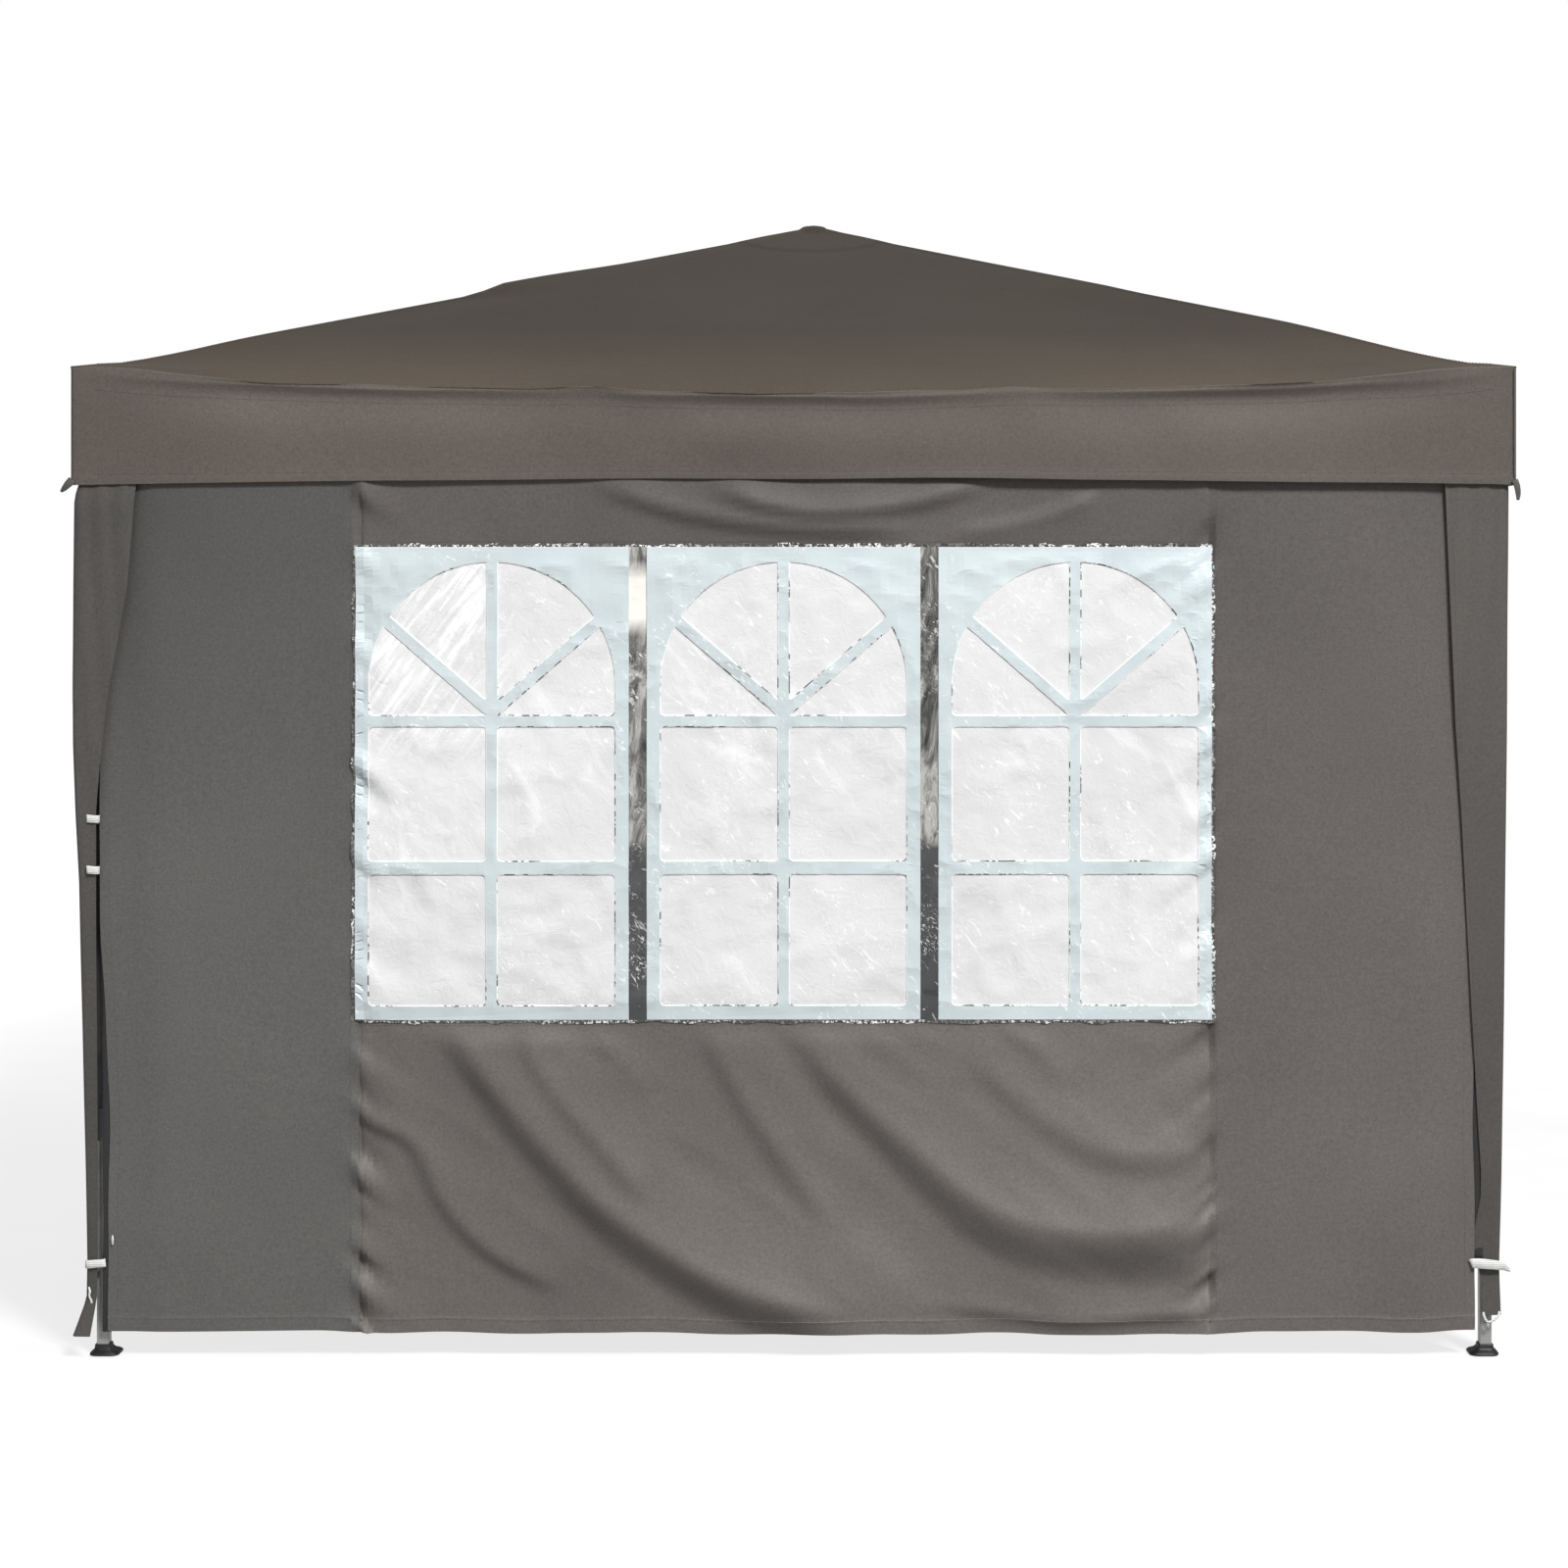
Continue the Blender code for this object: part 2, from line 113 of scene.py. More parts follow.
def face_crosses(points, face):
    """One cross product for each triangle of a face, twice as long as the triangle is large."""
    a, b, c = points[face[0]], points[face[1]], points[face[2]]
    crosses = [np.cross(b - a, c - a)]
    if len(face) == 4:
        crosses.append(np.cross(c - a, points[face[3]] - a))
    return crosses


def summed_normals(points, faces, group):
    """One unit normal for each group of points."""
    normals = np.zeros((group.max() + 1, 3))
    for face in faces:
        n = sum(face_crosses(points, face))
        for i in face:
            normals[group[i]] += n
    return normals / np.maximum(np.linalg.norm(normals, axis=1, keepdims=True), TINY)


def vertex_normals(points, faces):
    return summed_normals(points, faces, np.arange(len(points)))


def grid_faces(rows, columns, keep=None):
    """Quads of a grid whose rows run upwards and columns to the right, facing the viewer."""
    faces = []
    for r in range(rows - 1):
        for c in range(columns - 1):
            if keep is None or keep[r, c]:
                a = r * columns + c
                faces.append((a, a + 1, a + columns + 1, a + columns))
    return faces


def edge_loops(faces):
    """Directed edges that only one face uses."""
    used = {}
    for f in faces:
        for a, b in zip(f, f[1:] + f[:1]):
            used[(a, b)] = True
    return [(a, b) for (a, b) in used if (b, a) not in used]


@contextmanager
def editing(mesh):
    """The mesh as a bmesh, written back at the end."""
    work = bmesh.new()
    work.from_mesh(mesh)
    yield work
    work.to_mesh(mesh)
    work.free()


def finished_mesh(obj):
    """A new mesh of the object as its modifiers leave it."""
    graph = bpy.context.evaluated_depsgraph_get()
    return bpy.data.meshes.new_from_object(obj.evaluated_get(graph))


def linked(name, data):
    """A new object, put in the scene."""
    obj = bpy.data.objects.new(name, data)
    bpy.context.scene.collection.objects.link(obj)
    return obj


def make_object(name, points, faces, materials, loop_normals=None, slots=None):
    mesh = bpy.data.meshes.new(name)
    mesh.from_pydata([tuple(p) for p in points], [], faces)
    for m in materials:
        mesh.materials.append(m)
    if slots is not None:
        mesh.polygons.foreach_set("material_index", slots)
    mesh.polygons.foreach_set("use_smooth", [True] * len(mesh.polygons))
    if loop_normals is not None:
        mesh.normals_split_custom_set(loop_normals)
    mesh.update()
    return linked(name, mesh)


def merged(points, faces):
    """Drops faces that have shrunk to nothing and welds equal corners in a face."""
    kept = []
    for f in faces:
        corner = []
        for i in f:
            if not any(np.linalg.norm(points[i] - points[j]) < 1e-7 for j in corner):
                corner.append(i)
        if len(corner) > 2:
            kept.append(tuple(corner))
    return kept


def cloth(name, points, faces, normals, material, thickness=CLOTH, sewn=()):
    """A closed thin sheet: the points, the same points a thickness behind, a rim, and stitches."""
    used = sorted({i for f in faces for i in f})
    new = {old: k for k, old in enumerate(used)}
    front = points[used]
    outward = normals[used]
    count = len(used)
    faces = [tuple(new[i] for i in f) for f in faces]
    both = np.vstack([front, front - outward * thickness])
    all_faces = list(faces) + [tuple(i + count for i in reversed(f)) for f in faces]
    loops = [outward[i] for f in faces for i in f]
    loops += [-outward[i] for f in faces for i in reversed(f)]
    for a, b in edge_loops(faces):
        all_faces.append((b, a, a + count, b + count))
        n = np.cross(front[b] - front[a], outward[a])
        n = n / max(np.linalg.norm(n), TINY)
        loops += [n] * 4
    plain = len(all_faces)
    for line, away in sewn:
        dash, dash_faces = dashes(line, away)
        start = len(both)
        both = np.vstack([both, dash])
        for f in dash_faces:
            n = np.cross(dash[f[1]] - dash[f[0]], dash[f[2]] - dash[f[0]])
            loops += [n / np.linalg.norm(n)] * len(f)
            all_faces.append(tuple(i + start for i in f))
    slots = [0] * plain + [1] * (len(all_faces) - plain)
    return make_object(name, both, all_faces, [material, THREAD], [tuple(n) for n in loops], slots)


def dashes(line, away):
    """Stitches along a line on a cloth: short raised runs of thread."""
    line, away = np.asarray(line, float), np.asarray(away, float)
    far = np.concatenate([[0], np.cumsum(np.linalg.norm(np.diff(line, axis=0), axis=1))])
    starts = np.arange(STITCH_PITCH / 2, far[-1] - STITCH, STITCH_PITCH)
    places = [
        np.stack([np.interp(starts + d, far, line[:, k]) for k in range(3)], axis=-1)
        for d in (0, STITCH / 2, STITCH)
    ]
    up = np.stack([np.interp(starts, far, away[:, k]) for k in range(3)], axis=-1)
    up /= np.linalg.norm(up, axis=1, keepdims=True)
    side = np.cross(places[2] - places[0], up)
    side *= 0.0006 / np.maximum(np.linalg.norm(side, axis=1, keepdims=True), 1e-9)
    rings = []
    for place, lift in zip(places, (0.0003, 0.0011, 0.0003)):
        rings += [place - side - up * 0.0004, place + side - up * 0.0004, place + up * lift]
    points = np.stack(rings, axis=1).reshape(-1, 3)
    faces = []
    for b in range(0, 9 * len(starts), 9):
        for r in (b, b + 3):
            faces += [(r, r + 3, r + 4, r + 1), (r + 1, r + 4, r + 5, r + 2), (r + 2, r + 5, r + 3, r)]
        faces += [(b, b + 1, b + 2), (b + 6, b + 8, b + 7)]
    return points, faces


def loft(name, rings, material, hollow=False):
    """A solid through a stack of rings; a hollow one runs from the last ring back to the first."""
    points = np.vstack(rings)
    around, count = len(rings[0]), len(rings)
    faces = []
    for r in range(count if hollow else count - 1):
        a, b = r * around, (r + 1) % count * around
        for k in range(around):
            m = (k + 1) % around
            faces.append((a + k, a + m, b + m, b + k))
    if not hollow:
        faces += [tuple(reversed(range(around))), tuple(range(len(points) - around, len(points)))]
    obj = make_object(name, points, faces, [material])
    weld(obj)
    return obj


def ribbon(name, path, away, widths, material, thickness=CLOTH):
    """A flat strap along a path, facing away."""
    path, away = np.array(path, float), np.array(away, float)
    if away.ndim == 1:
        away = np.tile(away, (len(path), 1))
    widths = np.broadcast_to(np.array(widths, float), (len(path),))
    fine = np.linspace(0, len(path) - 1, 6 * (len(path) - 1) + 1)
    path = curve_through(path, len(fine))
    knots = np.arange(len(widths))
    widths = np.interp(fine, knots, widths)
    away = np.stack([np.interp(fine, knots, away[:, k]) for k in range(3)], axis=-1)
    away /= np.linalg.norm(away, axis=1, keepdims=True)
    side = np.cross(np.gradient(path, axis=0), away)
    side /= np.linalg.norm(side, axis=1, keepdims=True)
    rings = []
    for place, s, n, w in zip(path, side, away, widths / 2):
        e = min(0.0008, w * 0.3)
        t = thickness / 2
        shape = (
            (-w, 0), (-w + e, t), (0, t * 1.15), (w - e, t), (w, 0), (w - e, -t), (0, -t), (-w + e, -t)
        )
        rings.append(np.array([place + s * a + n * b for a, b in shape]))
    return loft(name, rings, material)


def turned(points, quarter):
    """Points of the front side, turned to the right, back or left side."""
    c, s = ((1, 0), (0, 1), (-1, 0), (0, -1))[quarter]
    out = np.array(points, float)
    x, y = out[..., 0].copy(), out[..., 1].copy()
    out[..., 0] = c * x - s * y
    out[..., 1] = s * x + c * y
    return out


def turned_cloth(name, points, faces, normals, seams, quarter, material):
    """A sheet of the canopy made at the front, sewn along its seams and turned to its side."""
    points, normals = turned(points, quarter), turned(normals, quarter)
    sewn = [(points[seam], normals[seam]) for seam in seams]
    obj = cloth(name, points, faces, normals, material, sewn=sewn)
    return obj


def turned_vector(v, quarter):
    return Vector([float(x) for x in turned(np.array(v, float), quarter)])


# ---------------------------------------------------------------- materials


MAP_RANGE = ("From Min", "From Max", "To Min", "To Max")


class Tree:
    """Adds nodes to the tree of a material or a world."""

    def __init__(self, owner):
        owner.use_nodes = True
        self.nodes, self.links = owner.node_tree.nodes, owner.node_tree.links

    def put(self, socket, value):
        if isinstance(value, bpy.types.NodeSocket):
            self.links.new(value, socket)
        else:
            socket.default_value = value

    def add(self, kind, output, inputs, **values):
        """A new node with its values set and its inputs put in; gives one of its outputs."""
        node = self.nodes.new("ShaderNode" + kind)
        for key, value in values.items():
            setattr(node, key, value)
        for key, value in inputs.items():
            self.put(node.inputs[key], value)
        return node.outputs[output]

    def ramp(self, value, low, high, a, b):
        """From a at the low value to b at the high one, and level beyond them."""
        return self.add("MapRange", 0, {"Value": value, **dict(zip(MAP_RANGE, (low, high, a, b)))})


class Nodes(Tree):
    """Short names for building a material."""

    def __init__(self, name):
        self.material = bpy.data.materials.new(name)
        super().__init__(self.material)
        self.shader = self.nodes["Principled BSDF"]
        self.coord = self.add("TexCoord", "Object", {})

    def noise(self, scale, detail=3.0, rough=0.5, vector=None, distortion=0.0):
        return self.add("TexNoise", "Fac", {
            "Scale": scale, "Detail": detail, "Roughness": rough, "Distortion": distortion,
            "Vector": vector or self.coord,
        })

    def wave(self, axis, scale):
        inputs = {"Scale": scale, "Distortion": 0.0, "Vector": self.coord}
        return self.add("TexWave", "Fac", inputs, wave_type="BANDS", bands_direction=axis)

    def math(self, operation, a, b=0.5):
        return self.add("Math", 0, {0: a, 1: b}, operation=operation)

    def plus(self, a, b):
        return self.math("ADD", a, b)

    def times(self, a, b):
        return self.math("MULTIPLY", a, b)

    def most(self, a, b):
        return self.math("MAXIMUM", a, b)

    def within(self, value, low, high):
        """1 between two values and 0 outside them."""
        return self.times(self.math("GREATER_THAN", value, low), self.math("LESS_THAN", value, high))

    def colours(self, value, *stops):
        output = self.add("ValToRGB", "Color", {"Fac": value})
        ramp = output.node.color_ramp
        while len(ramp.elements) < len(stops):
            ramp.elements.new(0.5)
        for element, (place, colour) in zip(ramp.elements, stops):
            element.position = place
            element.color = (*colour, 1.0)
        return output

    def mix(self, factor, a, b, kind="MIX"):
        return self.add("Mix", 2, {0: factor, 6: a, 7: b}, data_type="RGBA", blend_type=kind)

    def stretched(self, scale):
        return self.add("Mapping", "Vector", {"Scale": scale, "Vector": self.coord})

    def swept(self, degrees, ratio):
        """Coordinates turned in the plane of the wall, then drawn out along the turned line."""
        turn = (0, math.radians(degrees), 0)
        turned_way = self.add("Mapping", "Vector", {"Rotation": turn, "Vector": self.coord})
        return self.add("Mapping", "Vector", {"Scale": (ratio, 1, 1), "Vector": turned_way})

    def axis(self, name):
        return self.add("SeparateXYZ", name, {0: self.coord})

    def length(self, vector):
        return self.add("VectorMath", "Value", {0: vector}, operation="LENGTH")

    def bump(self, height, strength, distance, before=None):
        inputs = {"Strength": strength, "Distance": distance, "Height": height}
        if before is not None:
            inputs["Normal"] = before
        return self.add("Bump", "Normal", inputs)

    def set(self, **values):
        for key, value in values.items():
            self.put(self.shader.inputs[key.replace("_", " ")], value)


def scaled(colour, by, lift=0.0):
    return tuple(min(1.0, c * by + lift) for c in colour)


def woven(
    name, colour, sheen=0.15, rough=0.68, weave=150.0, height_shade=None, across_shade=None, panels=(), cap_and_hem_shadow=False
):
    """Coated polyester: a fine plain weave, a little mottled, with faint creases."""
    n = Nodes(name)
    broad = n.noise(1.3, 3.0, 0.55)
    base = n.colours(broad, (0.3, scaled(colour, 0.86)), (0.5, colour), (0.72, scaled(colour, 1.13)))
    grain = n.noise(420.0, 2.0, 0.7)
    slub_a = n.noise(60.0, 2.0, 0.6, n.stretched((1.0, 1.0, 14.0)))
    slub_b = n.noise(60.0, 2.0, 0.6, n.stretched((14.0, 14.0, 1.0)))
    slub = n.plus(slub_a, slub_b)
    fleck = n.noise(170.0, 2.0, 0.6)
    shade = n.plus(n.ramp(grain, 0.3, 0.7, -0.14, 0.14), n.ramp(slub, 0.8, 1.2, 0.94, 1.06))
    shade = n.plus(shade, n.ramp(fleck, 0.3, 0.7, -0.13, 0.13))
    # painted light and shade: the colour made lighter or darker with height, where the light falls more
    # or less
    if height_shade is not None:  # two heights and how strong the colour is at each
        shade = n.times(shade, n.ramp(n.axis("Z"), *height_shade))
    # painted shade: the colour darker towards one side, against a brighter light there
    if across_shade is not None:  # the same from left to right
        shade = n.times(shade, n.ramp(n.axis("X"), *across_shade))
    if cap_and_hem_shadow:  # the doubled patch on the peak, a little lighter, and a painted shadow line under its hem
        far = n.length(n.stretched((1.0, 1.0, 0.0)))
        shade = n.times(shade, n.ramp(far, 0.238, 0.242, 1.08, 1.0))
        # painted shadow: a darker ring under the hem of the patch
        line = n.ramp(n.math("ABSOLUTE", n.math("SUBTRACT", far, 0.258)), 0.009, 0.020, 0.80, 1.0)
        shade = n.times(shade, line)
    tinted = n.mix(1.0, base, shade, "MULTIPLY")
    for low, high, panel_shade in panels:  # painted shade: a panel made darker, as the light falls on it
        over = n.within(n.axis("X"), low, high)
        tinted = n.mix(over, tinted, n.mix(1.0, tinted, (*panel_shade, 1.0), "MULTIPLY"))
    n.set(Base_Color=tinted)
    threads = n.plus(n.wave("X", weave), n.wave("Y", weave))
    threads = n.plus(threads, n.wave("Z", weave))
    crease = n.noise(7.0, 5.0, 0.62, distortion=0.4)
    normal = n.bump(crease, 0.25, 0.006)
    normal = n.bump(threads, 0.10, 0.0005, normal)
    n.set(Normal=normal, Roughness=n.ramp(grain, 0.3, 0.7, rough - 0.05, rough + 0.06))
    n.set(Sheen_Weight=sheen, Sheen_Roughness=0.45, Specular_IOR_Level=0.32)
    return n.material


def webbing(name, colour):
    n = Nodes(name)
    rib = n.wave("Z", 70.0)
    cross = n.wave("X", 110.0)
    worn = n.noise(35.0, 4.0, 0.6)
    base = n.colours(worn, (0.3, scaled(colour, 0.8)), (0.65, colour))
    n.set(Base_Color=base, Roughness=0.75)
    n.set(Normal=n.bump(n.plus(rib, cross), 0.5, 0.0008), Sheen_Weight=0.2)
    return n.material


def coated_steel(name, colour, metal):
    """Powder-coated tube: orange peel, faint scratches along it, dust in patches."""
    n = Nodes(name)
    peel = n.noise(230.0, 2.0, 0.5)
    rub = n.noise(9.0, 5.0, 0.65)
    scratch = n.noise(55.0, 2.0, 0.8, n.stretched((7.0, 7.0, 0.5)))
    base = n.colours(rub, (0.32, scaled(colour, 0.72)), (0.52, colour), (0.75, scaled(colour, 1.15)))
    marks = n.ramp(scratch, 0.66, 0.72, 0.0, 0.35)
    base = n.mix(marks, base, (*scaled(colour, 1.6), 1.0))
    n.set(Base_Color=base, Roughness=n.ramp(rub, 0.3, 0.7, 0.34, 0.56))
    n.set(Normal=n.bump(peel, 0.35, 0.0006), Metallic=metal, Coat_Weight=0.15)
    return n.material


def moulded(name, colour, rough=0.5):
    """Moulded nylon with a fine spark texture and scuffed patches."""
    n = Nodes(name)
    spark = n.noise(900.0, 2.0, 0.6)
    scuff = n.noise(22.0, 6.0, 0.7)
    base = n.colours(scuff, (0.42, colour), (0.7, scaled(colour, 1.7, 0.006)))
    n.set(Base_Color=base, Roughness=n.ramp(scuff, 0.3, 0.75, rough - 0.08, rough + 0.15))
    n.set(Normal=n.bump(spark, 0.3, 0.0003), Specular_IOR_Level=0.35)
    return n.material


def glints(n, scale, degrees, ratio, low, high, wander=0.35, detail=2.0):
    """Short bright flecks where creased vinyl catches the light, drawn out along one direction."""
    flecks = n.noise(scale, detail, 0.6, n.swept(degrees, ratio), wander)
    return n.ramp(flecks, low, high, 0.0, 1.0)


def film_material(windows):
    """Glossy vinyl, crinkled all over: milky behind the printed windows, clear between them; painted
    highlights on the panes, and in the clear strips painted dark shade below and a painted reflection
    above.
    """
    n = Nodes("vinyl_film")
    x, z = n.axis("X"), n.axis("Z")
    inside = None
    for low, high in windows:
        over = n.within(x, low, high)
        inside = over if inside is None else n.most(inside, over)
    level = n.within(z, WINDOW_BASE + 0.003, WINDOW_TOP - 0.003)
    across = n.within(x, FILM_LOW.x + 0.002, FILM_HIGH.x - 0.002)
    rim = n.math("SUBTRACT", 1.0, n.times(level, across))
    inside = n.times(inside, level)
    cloud = n.noise(3.6, 3.0, 0.5)
    pane = n.colours(cloud, (0.30, (0.765, 0.765, 0.765)), (0.70, (0.82, 0.82, 0.825)))
    # painted highlights: broad white streaks where the creased vinyl catches the light
    smeared_highlight = glints(n, 17.0, -52, 0.36, 0.52, 0.72, 0.9, 5.0)
    smeared_highlight = n.times(smeared_highlight, n.ramp(n.noise(2.6), 0.42, 0.62, 0.0, 0.9))
    patches = n.ramp(n.noise(4.4, 2.0, 0.5, distortion=0.6), 0.42, 0.58, 0.0, 1.0)
    # painted highlights: small bright flecks in patches, and finer ones
    fleck = n.times(glints(n, 76.0, -46, 0.34, 0.62, 0.70, 1.1, 3.0), patches)
    fine = glints(n, 150.0, -35, 0.55, 0.57, 0.66, 1.6, 3.0)
    fine = n.times(fine, n.ramp(n.noise(6.5, 2.0), 0.52, 0.62, 0.0, 0.85))
    bright = n.most(fleck, fine)
    # painted highlights and painted dark streaks in the fan panes at the upper left
    corner = n.times(n.ramp(x, -0.56, -0.66, 0.0, 1.0), n.ramp(z, 1.22, 1.34, 0.0, 1.0))
    sweep = n.times(glints(n, 64.0, 54, 0.10, 0.48, 0.64), corner)
    pane = n.mix(n.most(n.most(smeared_highlight, sweep), bright), pane, (1.0, 1.0, 1.0, 1.0))
    shade = n.times(glints(n, 46.0, 52, 0.09, 0.47, 0.34), corner)
    pane = n.mix(n.times(shade, 0.4), pane, (0.62, 0.62, 0.63, 1.0))
    # the clear strips between the windows: painted dark shade below, a painted reflection of light above
    shade_and_reflection_noise = n.noise(26.0, 4.0, 0.7, n.swept(80, 0.3), 1.2)
    below = n.colours(shade_and_reflection_noise, (0.3, (0.030, 0.031, 0.034)), (0.7, (0.050, 0.051, 0.054)))
    stops = (0.36, (0.025, 0.025, 0.024)), (0.48, (0.16, 0.155, 0.145)), (0.62, (0.50, 0.49, 0.46))
    above = n.colours(shade_and_reflection_noise, *stops)
    gap = n.mix(n.ramp(z, 1.06, 1.08, 0.0, 1.0), below, above)
    # painted reflection: a bright glare in the strip between the left and the middle window
    glare = n.times(n.ramp(z, 1.50, 1.54, 0.0, 1.0), n.ramp(z, 1.66, 1.62, 0.0, 1.0))
    left_gap = n.math("LESS_THAN", n.math("ABSOLUTE", n.plus(x, 0.3)), 0.2)
    glare = n.times(glare, left_gap)
    gap = n.mix(glare, gap, (1.0, 0.97, 0.90, 1.0))
    # painted highlights on the clear strips
    gap = n.mix(bright, gap, (0.9, 0.9, 0.88, 1.0))
    # the rim of the film painted dark, with sparkles of painted highlight
    spark = n.ramp(n.noise(150.0, 3.0, 0.7), 0.50, 0.56, 0.0, 1.0)
    spark = n.times(spark, n.ramp(n.noise(9.0, 2.0, 0.6), 0.44, 0.56, 0.15, 1.0))
    gap = n.mix(rim, gap, n.mix(spark, (0.05, 0.048, 0.045, 1.0), (1.0, 1.0, 0.98, 1.0)))
    n.set(Base_Color=n.mix(inside, gap, pane))
    n.set(Alpha=n.ramp(inside, 0.0, 1.0, 0.94, 0.985))
    crinkle = n.noise(30.0, 5.0, 0.7, distortion=1.4)
    fine_bump = n.noise(110.0, 3.0, 0.7, distortion=0.6)
    normal = n.bump(crinkle, 0.4, 0.004)
    normal = n.bump(fine_bump, 0.25, 0.0012, normal)
    n.set(Normal=normal, Roughness=0.14, Specular_IOR_Level=0.4)
    n.set(Coat_Weight=0.35, Coat_Roughness=0.08)
    return n.material


def print_material():
    """The pale printed window bars: satin vinyl, slightly crinkled."""
    n = Nodes("window_print")
    cloud = n.noise(4.0, 4.0, 0.6)
    base = n.colours(cloud, (0.3, (0.585, 0.665, 0.690)), (0.7, (0.635, 0.705, 0.720)))
    # painted highlights: bright glints on the print in patches
    patches = n.ramp(n.noise(4.4, 2.0, 0.5, distortion=0.6), 0.50, 0.62, 0.0, 0.9)
    bright = n.times(glints(n, 100.0, -44, 0.4, 0.60, 0.68, 1.2, 3.0), patches)
    base = n.mix(bright, base, (0.95, 0.97, 0.97, 1.0))
    crinkle = n.noise(30.0, 5.0, 0.7, distortion=1.4)
    n.set(Base_Color=base, Normal=n.bump(crinkle, 0.25, 0.002))
    n.set(Roughness=n.ramp(cloud, 0.3, 0.7, 0.38, 0.5), Coat_Weight=0.1, Coat_Roughness=0.2)
    return n.material


def pane_edge_light_material():
    """A line round a pane: painted white as a highlight, with dark broken stretches of painted shadow.
    """
    n = Nodes("pane_edge_light")
    broken = n.noise(75.0, 2.0, 0.6)
    patches = n.noise(5.5, 2.0, 0.5)
    # painted shadow: dark broken stretches along the line
    dark = n.times(n.ramp(broken, 0.50, 0.54, 0.0, 1.0), n.ramp(patches, 0.50, 0.56, 0.0, 1.0))
    n.set(Base_Color=n.mix(dark, (0.95, 0.95, 0.95, 1.0), (0.07, 0.07, 0.07, 1.0)))
    n.set(Roughness=0.25, Coat_Weight=0.3, Normal=n.bump(broken, 0.4, 0.001))
    return n.material


# The roof's colour is painted lighter towards the eave, as painted light, with a painted shadow line
# under the peak patch's hem.
ROOF_CLOTH = woven(
    "roof_cloth", (0.0345, 0.0262, 0.0180), sheen=0.03, height_shade=(2.02, 2.18, 1.9, 1.0), cap_and_hem_shadow=True
)
# The wall's colour is painted darker towards the top, as shade under the valance, and its side panels
# are painted darker, the left one more: painted shade.
WALL_CLOTH = woven(
    "wall_cloth", (0.121, 0.109, 0.101), sheen=0.08, rough=0.55, height_shade=(0.3, 1.75, 1.21, 0.80),
    panels=((-2.0, SEAM_LEFT, (0.82, 0.87, 0.89)), (SEAM_RIGHT, 2.0, (0.90, 0.90, 0.92))),
)
# The valance is painted darker towards the right, as painted shade against the brighter light there.
VALANCE_CLOTH = woven("valance_cloth", (0.104, 0.088, 0.075), sheen=0.08, across_shade=(0.2, 1.3, 1.0, 0.86))
COVER_CLOTH = woven("cover_cloth", (0.078, 0.0725, 0.066), sheen=0.06)
THREAD = woven("thread", (0.10, 0.091, 0.083), weave=400.0)
# painted shade: a black strip for the dark gaps between the wall and the legs
GAP_SHADE_STRIP = webbing("gap_shade_strip", (0.012, 0.012, 0.013))
WHITE_WEB = webbing("white_webbing", (0.86, 0.86, 0.84))
DARK_STEEL = coated_steel("dark_tube", (0.05, 0.052, 0.056), metal=0.4)
SILVER = coated_steel("silver_tube", (0.34, 0.345, 0.335), metal=0.3)
GREY_STEEL = coated_steel("grey_tube", (0.26, 0.265, 0.27), metal=0.5)
BLACK_NYLON = moulded("black_nylon", (0.009, 0.009, 0.010))
BUTTON_NYLON = moulded("button_nylon", (0.30, 0.31, 0.32), rough=0.35)
PRINT = print_material()
PANE_EDGE_LIGHT = pane_edge_light_material()


# ---------------------------------------------------------------- roof and valances


def ridge_line(m):
    """Height of a straight ridge, m from the axis along X and Y."""
    return EAVE + (PEAK - 0.006 - EAVE) * (1.0 - m / HALF)


def ridge_rise(m, hollow_depth):
    """How the real ridge leaves the straight line: flat at its foot, lifted by the frame halfway."""
    t = 1.0 - m / HALF
    foot = -0.014 * smooth(t, 0.0, 0.07) * (1 - smooth(t, 0.10, 0.30))
    hollow = -hollow_depth * smooth(t, 0.16, 0.3) * (1 - smooth(t, 0.48, 0.52))
    lift = 0.85 * hollow_depth * smooth(t, 0.49, 0.53) * (1 - smooth(t, 0.56, 0.72))
    return foot + hollow + lift


GATHERS = (-0.43, 0.47)


def scallop(u):
    """The eave hangs in three swags between its corners and two gathers."""
    knots = (-HALF, *GATHERS, HALF)
    out = np.zeros_like(u)
    for low, high in zip(knots, knots[1:]):
        inside = (u >= low) & (u <= high)
        out = np.where(inside, np.abs(np.sin(np.pi * (u - low) / (high - low))) ** 0.7, out)
    return out


EAVE_SAG = 0.046
SWAG = 0.010


def eave_height(u, quarter):
    a = np.clip(1.0 - (u / HALF) ** 2, 0, 1)
    wave = 0.004 * soft_noise(u * 2.1, 0.5, 3 + quarter) + 0.003 * soft_noise(u * 6.0, 0.5, 9 + quarter)
    return EAVE - EAVE_SAG * a**0.75 - SWAG * scallop(u) + wave * smooth(a, 0.0, 0.35)


ROOF_SLACK = 0.022
PATCH = (0.225, 0.250)  # how far from the axis the doubled patch on the peak thins out


